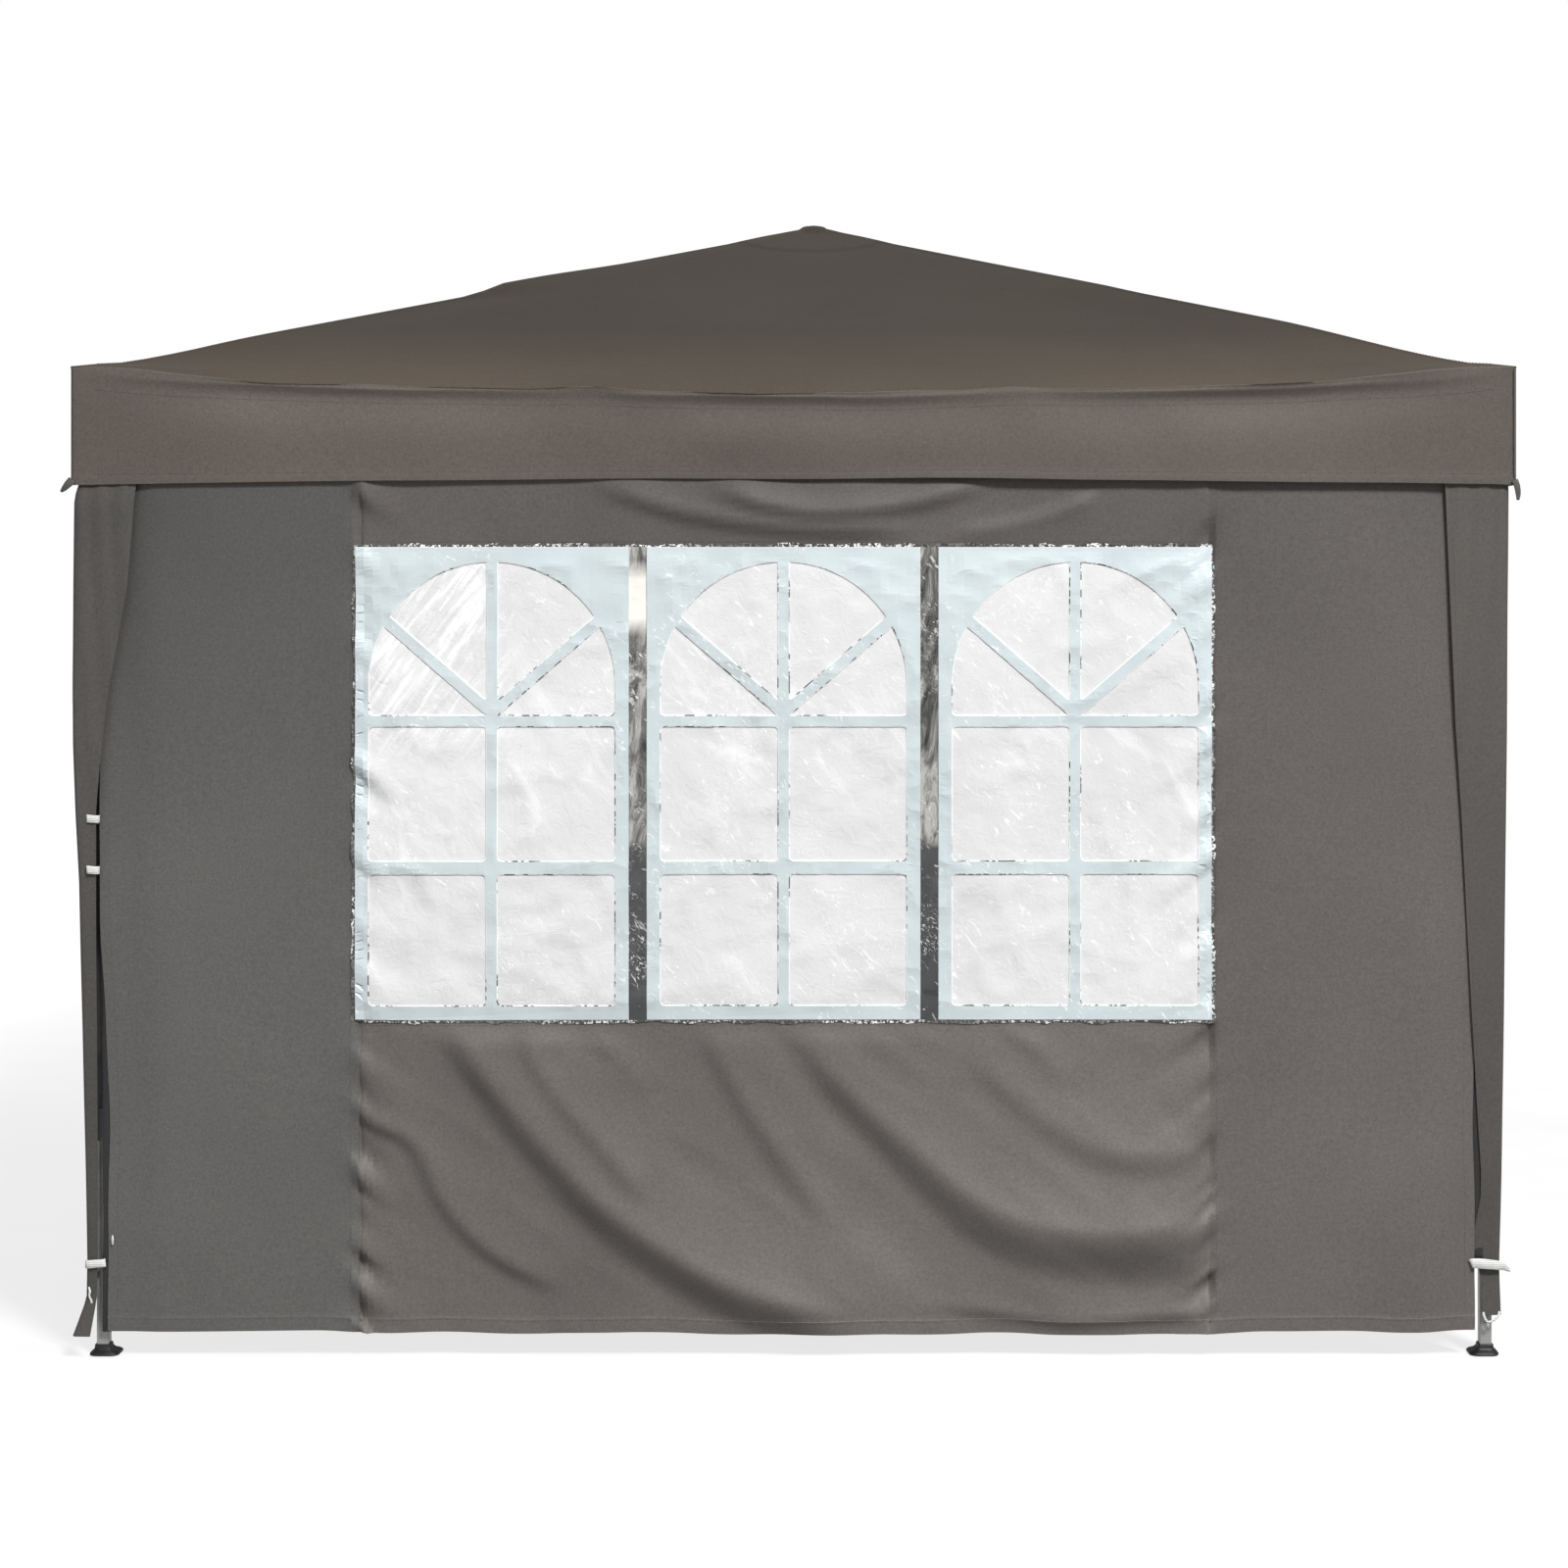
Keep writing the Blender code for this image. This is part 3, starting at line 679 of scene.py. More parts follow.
def roof_height(u, w, quarter):
    """Height of the roof u along its side and w in from the eave."""
    m = HALF - w
    a = np.abs(u) / np.maximum(m, 1e-9)
    inner = np.clip(1.0 - a**2, 0, 1)
    eave_drop = (EAVE - eave_height(u, quarter)) * np.exp(-w / 0.30)
    slack = ROOF_SLACK * np.sin(np.pi * np.clip(w / HALF, 0, 1)) * inner
    ripple = 0.0035 * soft_noise(u * 9.0, w * 4.0, 21 + quarter) * np.exp(-w / 0.25)
    ripple = ripple + 0.0024 * ridges(u * 4.0 + w * 5.0, w * 13.0, 24 + quarter) * np.exp(-w / 0.20)
    broad = 0.007 * soft_noise(u * 1.7, w * 1.9, 33 + quarter) * smooth(w, 0.05, 0.3)
    corner = 2 * quarter - 1 + np.sign(u)  # the two sides of a ridge agree on its number
    depth = 0.0045 - 0.0035 * np.cos(corner * np.pi / 2)
    near_ridge = smooth(a, 0.72, 1.0)
    base = ridge_line(m) + ridge_rise(m, depth) * near_ridge
    base = base - eave_drop * smooth(inner, 0.0, 0.5) - slack
    far = np.hypot(u, m)
    welt = 0.0016 * (1 - smooth((m - np.abs(u)) * 0.707, 0.006, 0.010))
    patch = 0.003 * (1 - smooth(far, *PATCH))
    top = base + (ripple + broad) * smooth(inner, 0.0, 0.4) + welt + patch
    dome = PEAK - 0.011 * np.minimum(far / 0.04, 3.0) ** 4
    return np.where(far < 0.08, np.clip(top, dome, PEAK), top)


def side_columns():
    """Places along a side, closer together at its middle, with every cut on one of them."""
    near = [0.0, 0.008, 0.016, 0.024, 0.034, 0.046, 0.062, 0.083, 0.125]
    far = [k / 24.0 for k in range(4, 37)]
    half = np.array(near + far)
    return np.concatenate([-half[:0:-1], half])


COLUMNS = side_columns()
ROOF_ROWS = 56
VALANCE_ROWS = 32
VALANCE_SEAMS = (3, 27)  # rows that are stitched
RECESS = 0.012  # how far the valance is pulled in under the eave
RECESS_BELOW = 0.024
RECESS_REACH = (0.016, 0.050)  # above and below its deepest line
ROLL_ROWS = 7
ROLL = 0.007  # how far in from the eave the valance is rolled over it


def roll_start(u):
    return np.minimum(ROLL, 0.3 * (HALF - np.abs(u)))


def roof_side(quarter):
    s = np.linspace(0, 1, ROOF_ROWS)
    t = 1 - (1 - s) ** 1.5
    u = np.tile(COLUMNS, (ROOF_ROWS, 1))
    start = roll_start(u)
    w = start + t[:, None] * (HALF - np.abs(u) - start)
    points = np.stack([u, -HALF + w, roof_height(u, w, quarter)], axis=-1)
    flat = points.reshape(-1, 3)
    faces = merged(flat, grid_faces(ROOF_ROWS, len(COLUMNS)))
    return flat, faces


def valance_side(quarter):
    """From the bottom hem up to the rolled eave, where the roof starts."""
    u = COLUMNS
    lean = 1 - (u / HALF) ** 8
    eave = eave_height(u, quarter)
    hem = HEM + 0.014 * (1 - (u / HALF) ** 2) + 0.003 * soft_noise(u * 3.0, 0.5, 40 + quarter)
    hem = np.where(np.abs(u) > HALF - 1e-6, HEM, hem)
    top = eave - 0.009
    rows = []
    for s in np.linspace(0, 1, VALANCE_ROWS):
        z = hem + (top - hem) * s
        wave = 0.007 * soft_noise(u * 2.3 + 4, s * 0.8, 50 + quarter) * (1 - s) ** 0.7
        wave = wave + 0.004 * soft_noise(u * 7.0, s * 2.0, 60 + quarter) * (0.35 + 0.65 * s)
        tuck = 0.0012 * smooth(s, 0.10, 0.085) if s > 0.09 else 0.0012
        depth = eave - z - RECESS_BELOW
        depth = depth / np.where(depth < 0, *RECESS_REACH)
        recess = RECESS * (0.10 + 0.90 * scallop(u)) * np.exp(-(depth**2))
        for gather in GATHERS:
            beside = (u - gather) / 0.05
            pucker = 0.0028 * np.cos(beside * 5.0) * np.exp(-(beside**2))
            recess = recess + pucker * np.exp(-((depth / 2.2) ** 2))
        y = -HALF + 0.004 - tuck + (wave + 0.002 + recess) * lean
        rows.append(np.stack([u, y, z], axis=-1))
    edge = rows[-1][:, 1]
    start = roll_start(u)
    high = roof_height(u, start, quarter)
    for k in range(1, ROLL_ROWS + 1):
        t = k / ROLL_ROWS
        y = (1 - t) ** 2 * edge + 2 * t * (1 - t) * edge + t**2 * (-HALF + start)
        bulge = 0.002 * np.sin(np.pi * min(1.0, t * 1.4)) * lean * scallop(u)
        y = y - bulge
        z = (1 - t) ** 2 * top + 2 * t * (1 - t) * (eave - 0.002) + t**2 * high
        rows.append(np.stack([u, y, z], axis=-1))
    points = np.array(rows)
    flat = points.reshape(-1, 3)
    return flat, merged(flat, grid_faces(len(rows), len(u)))


def joined_normals(parts):
    """Normals over several meshes that share their edges, so that no join shows."""
    points = np.vstack([p for p, _ in parts])
    faces, start = [], 0
    for p, f in parts:
        faces += [tuple(i + start for i in face) for face in f]
        start += len(p)
    keys = {}
    group = np.zeros(len(points), int)
    for k, p in enumerate(points):
        group[k] = keys.setdefault(tuple(np.round(p, 6)), len(keys))
    raw = summed_normals(points, faces, group)
    out, start = [], 0
    for p, _ in parts:
        out.append(raw[group[start : start + len(p)]])
        start += len(p)
    return out


def pick(points, faces, low, high):
    """The faces whose middle lies between two places along the side."""
    kept = []
    for f in faces:
        x = sum(points[i][0] for i in f) / len(f)
        if low < x < high:
            kept.append(f)
    return kept


def row_between(row, low, high):
    """The numbers of the points in one row of a side's grid between two places along it."""
    first = row * len(COLUMNS)
    inside = (COLUMNS > low - 1e-6) & (COLUMNS < high + 1e-6) & (np.abs(COLUMNS) < HALF - 0.02)
    return first + np.nonzero(inside)[0]


STRIP_PACKED = 0.9
BUNDLE_FACE = -0.262  # how far out a folded side's first strip would hang
BUNDLE_LAYER = 0.010
BUNDLE_DROP = 0.13


def to_bundle(obj, quarter, centre, layer):
    """Hangs the strip from its side's centre bar; its place in the folded pose is worked out but not
    used.
    """
    side = SIDES[quarter]
    turn = Matrix.Rotation(FOLD, 3, "X")
    pivot = Vector((0.0, HINGE.y, HINGE.z))
    folded = pivot + turn @ (Vector(centre) - pivot)
    goal = Vector((0.0, BUNDLE_FACE + BUNDLE_LAYER * layer, folded.z - BUNDLE_DROP))
    step = turn.inverted() @ (goal - folded)
    anchor = Vector(centre) + step.normalized() * (step.length / (1 - STRIP_PACKED))
    axis = turned_vector(step.normalized(), quarter)
    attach(obj, "centre_bar_up_" + side)
    turned_vector(anchor, quarter)
    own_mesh(obj)


STRIP = HALF * 2 / STRIPS


def build_roof():
    for quarter, side in enumerate(SIDES):
        roof, roof_faces = roof_side(quarter)
        band, band_faces = valance_side(quarter)
        roof_n, band_n = joined_normals([(roof, roof_faces), (band, band_faces)])
        for k in range(STRIPS):
            low = -HALF + STRIP * k
            faces = pick(roof, roof_faces, low, low + STRIP)
            name = "roof_%s_%d" % (side, k + 1)
            seam = row_between(ROOF_ROWS - 4, low, low + STRIP)
            obj = turned_cloth(name, roof, faces, roof_n, [seam], quarter, ROOF_CLOTH)
            eave_middle = (low + STRIP / 2, -HALF, EAVE)
            to_bundle(obj, quarter, eave_middle, abs(k - STRIPS // 2))
            if k == STRIPS // 2 and quarter == 0:
                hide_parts("canopy")
        left, right = CORNERS[quarter], CORNERS[(quarter + 1) % 4]
        spans = (
            (-HALF, -HALF / 2, "leg_" + left, -HALF),
            (-HALF / 2, 0, "mid_top_" + side, 0.0),
            (0, HALF / 2, "mid_top_" + side, 0.0),
            (HALF / 2, HALF, "leg_" + right, HALF),
        )
        for k, (low, high, body, fixed) in enumerate(spans):
            faces = pick(band, band_faces, low, high)
            name = "valance_%s_%d" % (side, k + 1)
            seams = [row_between(row, low, high) for row in VALANCE_SEAMS]
            obj = turned_cloth(name, band, faces, band_n, seams, quarter, VALANCE_CLOTH)
            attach(obj, body)
            axis = turned_vector((1, 0, 0), quarter)
            anchor = turned_vector((fixed, -HALF, EAVE), quarter)
            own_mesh(obj)


# ---------------------------------------------------------------- leg covers


# Height, then how far out the inner and the outer edge of a leg cover lie: a loose one and a
# strapped one, which take turns round the tent.
LOOSE = (
    (1.875, 1.363, 1.486), (1.815, 1.367, 1.488), (1.79, 1.369, 1.495), (1.60, 1.383, 1.497),
    (1.40, 1.420, 1.498), (1.276, 1.436, 1.497), (1.134, 1.4495, 1.493), (0.99, 1.4505, 1.487),
    (0.42, 1.4495, 1.4765),
    (0.20, 1.450, 1.473), (0.12, 1.452, 1.474), (0.048, 1.460, 1.497),
)
STRAPPED = (
    (1.875, 1.350, 1.486), (1.80, 1.355, 1.487), (1.32, 1.376, 1.485), (1.13, 1.389, 1.483),
    (0.71, 1.411, 1.479), (0.386, 1.431, 1.475), (0.33, 1.430, 1.474), (0.24, 1.413, 1.472),
    (0.20, 1.412, 1.471), (0.178, 1.430, 1.471), (0.087, 1.434, 1.4735),
)


COVER_ROWS = 96
COVER_ACROSS = 13  # points over one face of the corner


def cover_points(quarter):
    """A tapering corner of cloth down the outside of a leg, at the front left before turning."""
    rows, across = COVER_ROWS, COVER_ACROSS
    profile = np.array((LOOSE, STRAPPED)[quarter % 2][::-1])
    heights = np.linspace(profile[0, 0], profile[-1, 0], rows)
    inner = np.interp(heights, profile[:, 0], profile[:, 1])
    outer = np.interp(heights, profile[:, 0], profile[:, 2])
    points = np.zeros((rows, 2 * across - 1, 3))
    for r, z in enumerate(heights):
        for k in range(-across + 1, across):
            s = abs(k) / (across - 1.0)
            away = (outer[r] - inner[r]) * s
            down = 1 - z / HEM
            wave = -abs(0.003 * math.sin(z * 5.1 + quarter) + 0.002 * math.sin(z * 13 + 2 * quarter))
            round_off = 0.002 * math.exp(-away / 0.004)
            along = -outer[r] + away + round_off
            off = -outer[r] - 0.0005 + round_off + wave * s * (0.3 + 0.7 * down)
            frill = 0.0015 * math.sin(away * 140 + z * 9) * min(1.0, away / 0.02)
            off += frill * max(0.0, 1 - 2 * down) - 0.0005
            place = (off, along, z) if k < 0 else (along, off, z)
            if k == 0:
                place = (along, along, z)
            points[r, k + across - 1] = place
    return points.reshape(-1, 3), grid_faces(rows, 2 * across - 1)


def build_covers():
    for quarter, corner in enumerate(CORNERS):
        points, faces = cover_points(quarter)
        normals = vertex_normals(points, faces)
        grid = np.arange(len(points)).reshape(COVER_ROWS, -1)
        seams = [grid[2:-2, column] for column in (1, -2)]
        obj = turned_cloth("leg_cover_" + corner, points, faces, normals, seams, quarter, COVER_CLOTH)
        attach(obj, "leg_" + corner)


# ---------------------------------------------------------------- wall, film and windows

WALL_Y = -1.4745
WINDOW_TOP = FILM_HIGH.z
WINDOW_BASE = FILM_LOW.z
WINDOW_WIDTH = 0.569
WINDOW_PITCH = 0.6065
WINDOW_STARTS = [FILM_LOW.x + 0.003 + k * WINDOW_PITCH for k in range(3)]
WINDOWS = tuple((start, start + WINDOW_WIDTH) for start in WINDOW_STARTS)


def curve_through(points, count=36):
    """A smooth line through a few points."""
    p = np.array(points, float)
    p = np.vstack([2 * p[0] - p[1], p, 2 * p[-1] - p[-2]])
    out = []
    for t in np.linspace(0, len(points) - 1.0001, count):
        i, f = int(t), t - int(t)
        a, b, c, d = p[i], p[i + 1], p[i + 2], p[i + 3]
        mid = 2 * b + (c - a) * f
        out.append(0.5 * (mid + (2 * a - 5 * b + 4 * c - d) * f**2 + (3 * b - a - 3 * c + d) * f**3))
    return np.array(out)


def crease(x, z, path, width, height, reach):
    """A hanging fold: the cloth steps out across the line, then eases back above it."""
    line = curve_through(path)
    best = np.full(x.shape, 1e9)
    off = np.zeros(x.shape)
    along = np.zeros(x.shape)
    last = len(line) - 2
    for k in range(last + 1):
        a, d = line[k], line[k + 1] - line[k]
        length = np.hypot(*d)
        t = ((x - a[0]) * d[0] + (z - a[1]) * d[1]) / length**2
        t = np.clip(t, -9 if k == 0 else 0, 9 if k == last else 1)
        dx, dz = x - a[0] - t * d[0], z - a[1] - t * d[1]
        far = np.hypot(dx, dz)
        closer = far < best
        side = np.sign(d[0] * dz - d[1] * dx)
        best = np.where(closer, far, best)
        off = np.where(closer, side * far, off)
        along = np.where(closer, (k + t) / (last + 1.0), along)
    broad = width[0] + (width[1] - width[0]) * np.clip(along, 0, 1)
    step = smooth(off, -broad / 2, broad / 2)
    ease = np.exp(-np.maximum(off - broad / 2, 0) / reach)
    ends = smooth(along, -0.10, 0.16) * (1 - smooth(along, 0.86, 1.12))
    size = height[0] + (height[1] - height[0]) * np.clip(along, 0, 1)
    return size * step * ease * ends


# Each fold: the line it follows, then its width and depth at both ends, and how far it eases back.
LOWER_FOLDS = (
    (((-0.74, 0.70), (-0.645, 0.555), (-0.54, 0.425), (-0.41, 0.29), (-0.26, 0.18), (-0.10, 0.10),
      (0.08, 0.045)),
     (0.055, 0.105), (0.020, 0.044), 0.11),
    (((-0.03, 0.69), (0.09, 0.545), (0.21, 0.425), (0.35, 0.30), (0.49, 0.23), (0.66, 0.205),
      (0.87, 0.215)),
     (0.05, 0.15), (0.018, 0.050), 0.13),
    (((-0.90, 0.49), (-0.80, 0.44), (-0.74, 0.32), (-0.645, 0.215), (-0.52, 0.145)),
     (0.03, 0.04), (0.012, 0.015), 0.07),
    (((-0.58, 0.69), (-0.52, 0.565), (-0.40, 0.425), (-0.33, 0.34)), (0.03, 0.04), (0.008, 0.011), 0.05),
    (((-0.20, 0.68), (-0.12, 0.53), (-0.05, 0.425), (0.06, 0.27)), (0.04, 0.06), (0.010, 0.014), 0.08),
    (((0.36, 0.62), (0.49, 0.50), (0.64, 0.41), (0.85, 0.40)), (0.05, 0.07), (0.008, 0.014), 0.10),
    (((0.30, 0.10), (0.53, 0.072), (0.70, 0.076), (0.86, 0.085)), (0.03, 0.03), (0.008, 0.012), 0.04),
    (((0.42, 0.69), (0.50, 0.63), (0.56, 0.56)), (0.03, 0.03), (0.006, 0.004), 0.04),
    (((-0.43, 0.66), (-0.36, 0.60), (-0.32, 0.55)), (0.025, 0.025), (0.006, 0.003), 0.04),
)
UPPER_FOLDS = (
    (((-0.16, 1.795), (-0.06, 1.765), (0.06, 1.750), (0.24, 1.765), (0.38, 1.80)),
     (0.02, 0.03), (0.008, 0.008), 0.03),
    (((-0.40, 1.80), (-0.22, 1.745), (0.00, 1.715), (0.20, 1.712)), (0.025, 0.03), (0.007, 0.008), 0.04),
    (((0.62, 1.80), (0.50, 1.755), (0.34, 1.725)), (0.02, 0.02), (0.006, 0.004), 0.03),
)


LOWER_STRENGTH = 1.15  # of the listed depths
UPPER_STRENGTH = 2.1
WALL_EASE = 0.006  # how far the whole wall stands out


def wall_bulge(x, z):
    """How far the wall stands out of its plane."""
    below = 1 - smooth(z, WINDOW_BASE - 0.05, WINDOW_BASE + 0.01)
    left, right = FILM_LOW.x, FILM_HIGH.x
    middle = smooth(x, left - 0.01, left + 0.06) * (1 - smooth(x, right - 0.06, right + 0.01))
    out = np.zeros_like(x)
    for f in LOWER_FOLDS:
        out += LOWER_STRENGTH * crease(x, z, *f) * middle * below
    for f in UPPER_FOLDS:
        out += UPPER_STRENGTH * crease(x, z, *f) * smooth(z, 1.68, 1.71)
    along, across = x * 0.80 - z * 0.60, x * 0.60 + z * 0.80
    out += 0.005 * soft_noise(along * 2.6, across * 9.0, 5) * middle * below
    out += 0.0016 * ridges(along * 5.0, across * 15.0, 15) * middle * below
    out += 0.006 * soft_noise(x * 1.4, z * 1.2, 6)
    out += 0.0022 * soft_noise(x * 4.6 + z * 2.0, z * 3.4 - x * 1.5, 7)
    for seam, inner in ((SEAM_LEFT, 1), (SEAM_RIGHT, -1)):
        away = (x - seam) * inner
        near = np.where(away > 0, np.exp(-away / 0.045), np.exp(away / 0.014))
        slant = z * 21.0 + away * 16.0
        out += 0.013 * soft_noise(away * 7.0 + 3, slant, 8 + inner) * near
        out += 0.008 * ridges(away * 9.0, slant * 1.2, 18 + inner) * near * below
        out -= 0.004 * np.exp(-((away / 0.004) ** 2))
    free = 1 - smooth(z, HEM + 0.01, HEM + 0.06) * 0.9
    return (out + WALL_EASE) * free


def wall_side(left, z):
    """How far out a free side edge lies: the left one leans out towards the top."""
    wavy = 0.0018 * np.sin(z * 9.0) + 0.001 * np.sin(z * 23.0)
    if left:
        return 1.427 + 0.020 * smooth(z, 0.45, 1.10) + wavy
    return 1.4165 + 0.006 * smooth(z, 1.2, 1.6) + wavy


def wall_surface(x, z):
    """The front of the wall at a place in its flat cut."""
    hem = 0.006 * soft_noise(x * 2.2, x * 0, 12) + 0.004 * soft_noise(x * 7.0, x * 0, 13)
    reach = np.where(x < 0, wall_side(True, z), wall_side(False, z)) - WALL_HIGH.x
    out = np.sign(x) * smooth(np.abs(x), 0.92, WALL_HIGH.x) * reach
    flatter = 1 - 0.85 * smooth(np.abs(x), 1.30, 1.38)
    y = WALL_Y - wall_bulge(x, z) * flatter - CLOTH * (z < WALL_LOW.z + 0.03)
    return np.stack([x + out, y, z + smooth(z, 0.35, 0.05) * hem], axis=-1)


def near(centre, *steps):
    return [centre - d for d in steps] + [centre + d for d in steps]


SEAM_ALLOWANCE = 0.012  # how far the film lies over the wall's cloth all round
STITCH_GAP = 0.008  # how far outside the film its seam runs


def build_wall():
    inset = SEAM_ALLOWANCE
    holes = (FILM_LOW.x + inset, FILM_HIGH.x - inset)
    xs = np.concatenate([
        np.linspace(WALL_LOW.x, holes[0], 29)[:-1],
        np.linspace(*holes, 121)[:-1],
        np.linspace(holes[1], WALL_HIGH.x, 30),
        near(holes[0], 0.0025, 0.006, 0.016, 0.025),
        near(holes[1], 0.0025, 0.006, 0.016, 0.025),
        [WALL_LOW.x + 0.022, WALL_LOW.x + 0.024, WALL_HIGH.x - 0.022, WALL_HIGH.x - 0.024],
    ])
    zs = np.concatenate([
        np.linspace(WALL_LOW.z, FILM_LOW.z + inset, 68)[:-1],
        np.linspace(FILM_LOW.z + inset, FILM_HIGH.z - inset, 61)[:-1],
        np.linspace(FILM_HIGH.z - inset, WALL_HIGH.z, 22),
        [WALL_LOW.z + 0.0295, WALL_LOW.z + 0.0305],
    ])
    xs, zs = np.sort(xs), np.sort(zs)
    x, z = np.meshgrid(xs, zs)
    points = wall_surface(x, z)
    hole_x = (xs[:-1] > holes[0] - 1e-6) & (xs[1:] < holes[1] + 1e-6)
    hole_z = (zs[:-1] > FILM_LOW.z + inset - 1e-6) & (zs[1:] < FILM_HIGH.z - inset + 1e-6)
    keep = ~(hole_z[:, None] & hole_x[None, :])
    flat = points.reshape(-1, 3)
    faces = grid_faces(len(zs), len(xs), keep)
    across = np.linspace(WALL_LOW.x + 0.03, WALL_HIGH.x - 0.03, 180)
    upright = np.linspace(WALL_LOW.z + 0.03, WALL_HIGH.z - 0.02, 160)
    beside = (FILM_LOW.x - STITCH_GAP, FILM_HIGH.x + STITCH_GAP)
    over = np.linspace(*beside, 120)
    lines = [(across, WALL_LOW.z + 0.026)]
    lines += [(over, FILM_LOW.z - STITCH_GAP), (over, FILM_HIGH.z + STITCH_GAP)]
    lines += [(place, upright) for place in (*beside, WALL_LOW.x + 0.02, WALL_HIGH.x - 0.02)]
    sewn = []
    for line_x, line_z in lines:
        line_x, line_z = np.broadcast_arrays(line_x, line_z)
        line = wall_surface(np.array(line_x, float), np.array(line_z, float))
        sewn.append((line, np.tile((0.0, -1.0, 0.0), (len(line), 1))))
    normals = vertex_normals(flat, faces)
    obj = cloth("wall_cloth_front", flat, faces, normals, WALL_CLOTH, sewn=sewn)
    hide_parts("wall_panel")
    on_wall(obj)


def build_wall_edges():
    """A black strip along the free edges, behind the cloth, put as painted shade in the gaps by the
    legs, and a plain white tag.
    """
    for left, low, top in ((True, 0.052, 1.24), (False, 0.205, 0.78)):
        sign = -1 if left else 1
        z = np.linspace(low, top, 61)
        inner = wall_side(left, z) - 0.006
        outer = (1.4405 if left else 1.437) + 0.0012 * np.sin(z * 17)
        outer = np.maximum(outer, inner + 0.004)
        path = np.stack([sign * (inner + outer) / 2, 0 * z + WALL_Y + 0.0021, z], axis=-1)
        name = "wall_edge_shade_strip_" + ("left" if left else "right")
        obj = ribbon(name, path[::6], (0, -1, 0), (outer - inner)[::6], GAP_SHADE_STRIP, 0.0012)
        on_wall(obj)
    tag = [
        (-1.4185, WALL_Y - 0.004, 0.254), (-1.4180, WALL_Y - 0.0065, 0.245),
        (-1.4185, WALL_Y - 0.005, 0.234),
    ]
    obj = ribbon("wall_tag", tag, (-0.3, -1, 0), (0.003, 0.006, 0.004), WHITE_WEB, 0.0008)
    on_wall(obj)


def on_wall(obj):
    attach(obj, "mid_top_front")
    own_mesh(obj)


def film_bulge(x, z):
    """The crinkled vinyl: soft buckles, then creases."""
    out = 0.0045 * soft_noise(x * 3.1, z * 2.7, 70)
    out += 0.0022 * ridges(x * 11 + z * 4, z * 9 - x * 3, 71)
    out += 0.0012 * ridges(x * 24 - z * 9, z * 21 + x * 6, 72)
    edge = np.minimum.reduce([x - FILM_LOW.x, FILM_HIGH.x - x, z - FILM_LOW.z, FILM_HIGH.z - z])
    return out * smooth(edge, 0.0, 0.05)


def film_surface(x, z):
    """Y of the front of the film, just proud of the cloth round it at its edge."""
    return WALL_Y - 0.0025 - wall_bulge(x, z) - film_bulge(x, z)


def build_film():
    xs = np.linspace(FILM_LOW.x, FILM_HIGH.x, 150)
    zs = np.linspace(FILM_LOW.z, FILM_HIGH.z, 84)
    x, z = np.meshgrid(xs, zs)
    y = film_surface(x, z)
    ragged_x = 0.0035 + 0.0035 * soft_noise(z * 42.0, z * 0, 90)
    ragged_z = 0.0030 + 0.0035 * soft_noise(x * 42.0, x * 0, 91)
    at_x = (x > FILM_HIGH.x - 1e-6) * 1.0 - (x < FILM_LOW.x + 1e-6) * 1.0
    at_z = (z > FILM_HIGH.z - 1e-6) * 1.0 - (z < FILM_LOW.z + 1e-6) * 1.0
    points = np.stack([x + at_x * ragged_x, y, z + at_z * ragged_z], axis=-1).reshape(-1, 3)
    faces = grid_faces(len(zs), len(xs))
    material = film_material(WINDOWS)
    obj = cloth("vinyl_window", points, faces, vertex_normals(points, faces), material, 0.0006)
    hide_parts("window_film")
    on_wall(obj)


BAR = 0.0105  # half the width of a printed bar
ARCH_BASE = 0.352
BORDER = 0.027
FAN_SLOPE = math.radians(41)
PRINT_GRID = 0.018


def arch_outline(centre, base, radius, straight):
    """From the right foot of an arch over to its left foot."""
    points = [(centre + radius, base), (centre + radius, base + straight)]
    for k in range(1, 40):
        a = math.pi * k / 40
        points.append((centre + radius * math.cos(a), base + straight + radius * math.sin(a)))
    return points + [(centre - radius, base + straight), (centre - radius, base)]


def clip(polygon, point, normal):
    """The part of a polygon on the side of a line that normal points to."""
    out = []
    for (ax, az), (bx, bz) in zip(polygon, polygon[1:] + polygon[:1]):
        da = (ax - point[0]) * normal[0] + (az - point[1]) * normal[1]
        db = (bx - point[0]) * normal[0] + (bz - point[1]) * normal[1]
        if da >= 0:
            out.append((ax, az))
        if (da > 0) != (db > 0) and abs(da - db) > 1e-12:
            t = da / (da - db)
            out.append((ax + (bx - ax) * t, az + (bz - az) * t))
    return out


def spaced(polygon, step):
    """The same outline with points no further apart than a step."""
    out = []
    for (ax, az), (bx, bz) in zip(polygon, polygon[1:] + polygon[:1]):
        count = max(1, math.ceil(math.hypot(bx - ax, bz - az) / step))
        for k in range(count):
            out.append((ax + (bx - ax) * k / count, az + (bz - az) * k / count))
    return out


def rounded(polygon, radius):
    """Cuts the corners of an outline with short curves."""
    out = []
    count = len(polygon)
    for i in range(count):
        p = Vector(polygon[i - 1])
        q = Vector(polygon[i])
        r = Vector(polygon[(i + 1) % count])
        a, b = p - q, r - q
        if a.length < 1e-6 or b.length < 1e-6 or a.angle(b) > 2.6:
            out.append(tuple(q))
            continue
        cut = min(radius, a.length * 0.4, b.length * 0.4)
        first, last = q + a.normalized() * cut, q + b.normalized() * cut
        for k in range(5):
            t = k / 4.0
            out.append(tuple(first * (1 - t) ** 2 + q * 2 * t * (1 - t) + last * t * t))
    return out


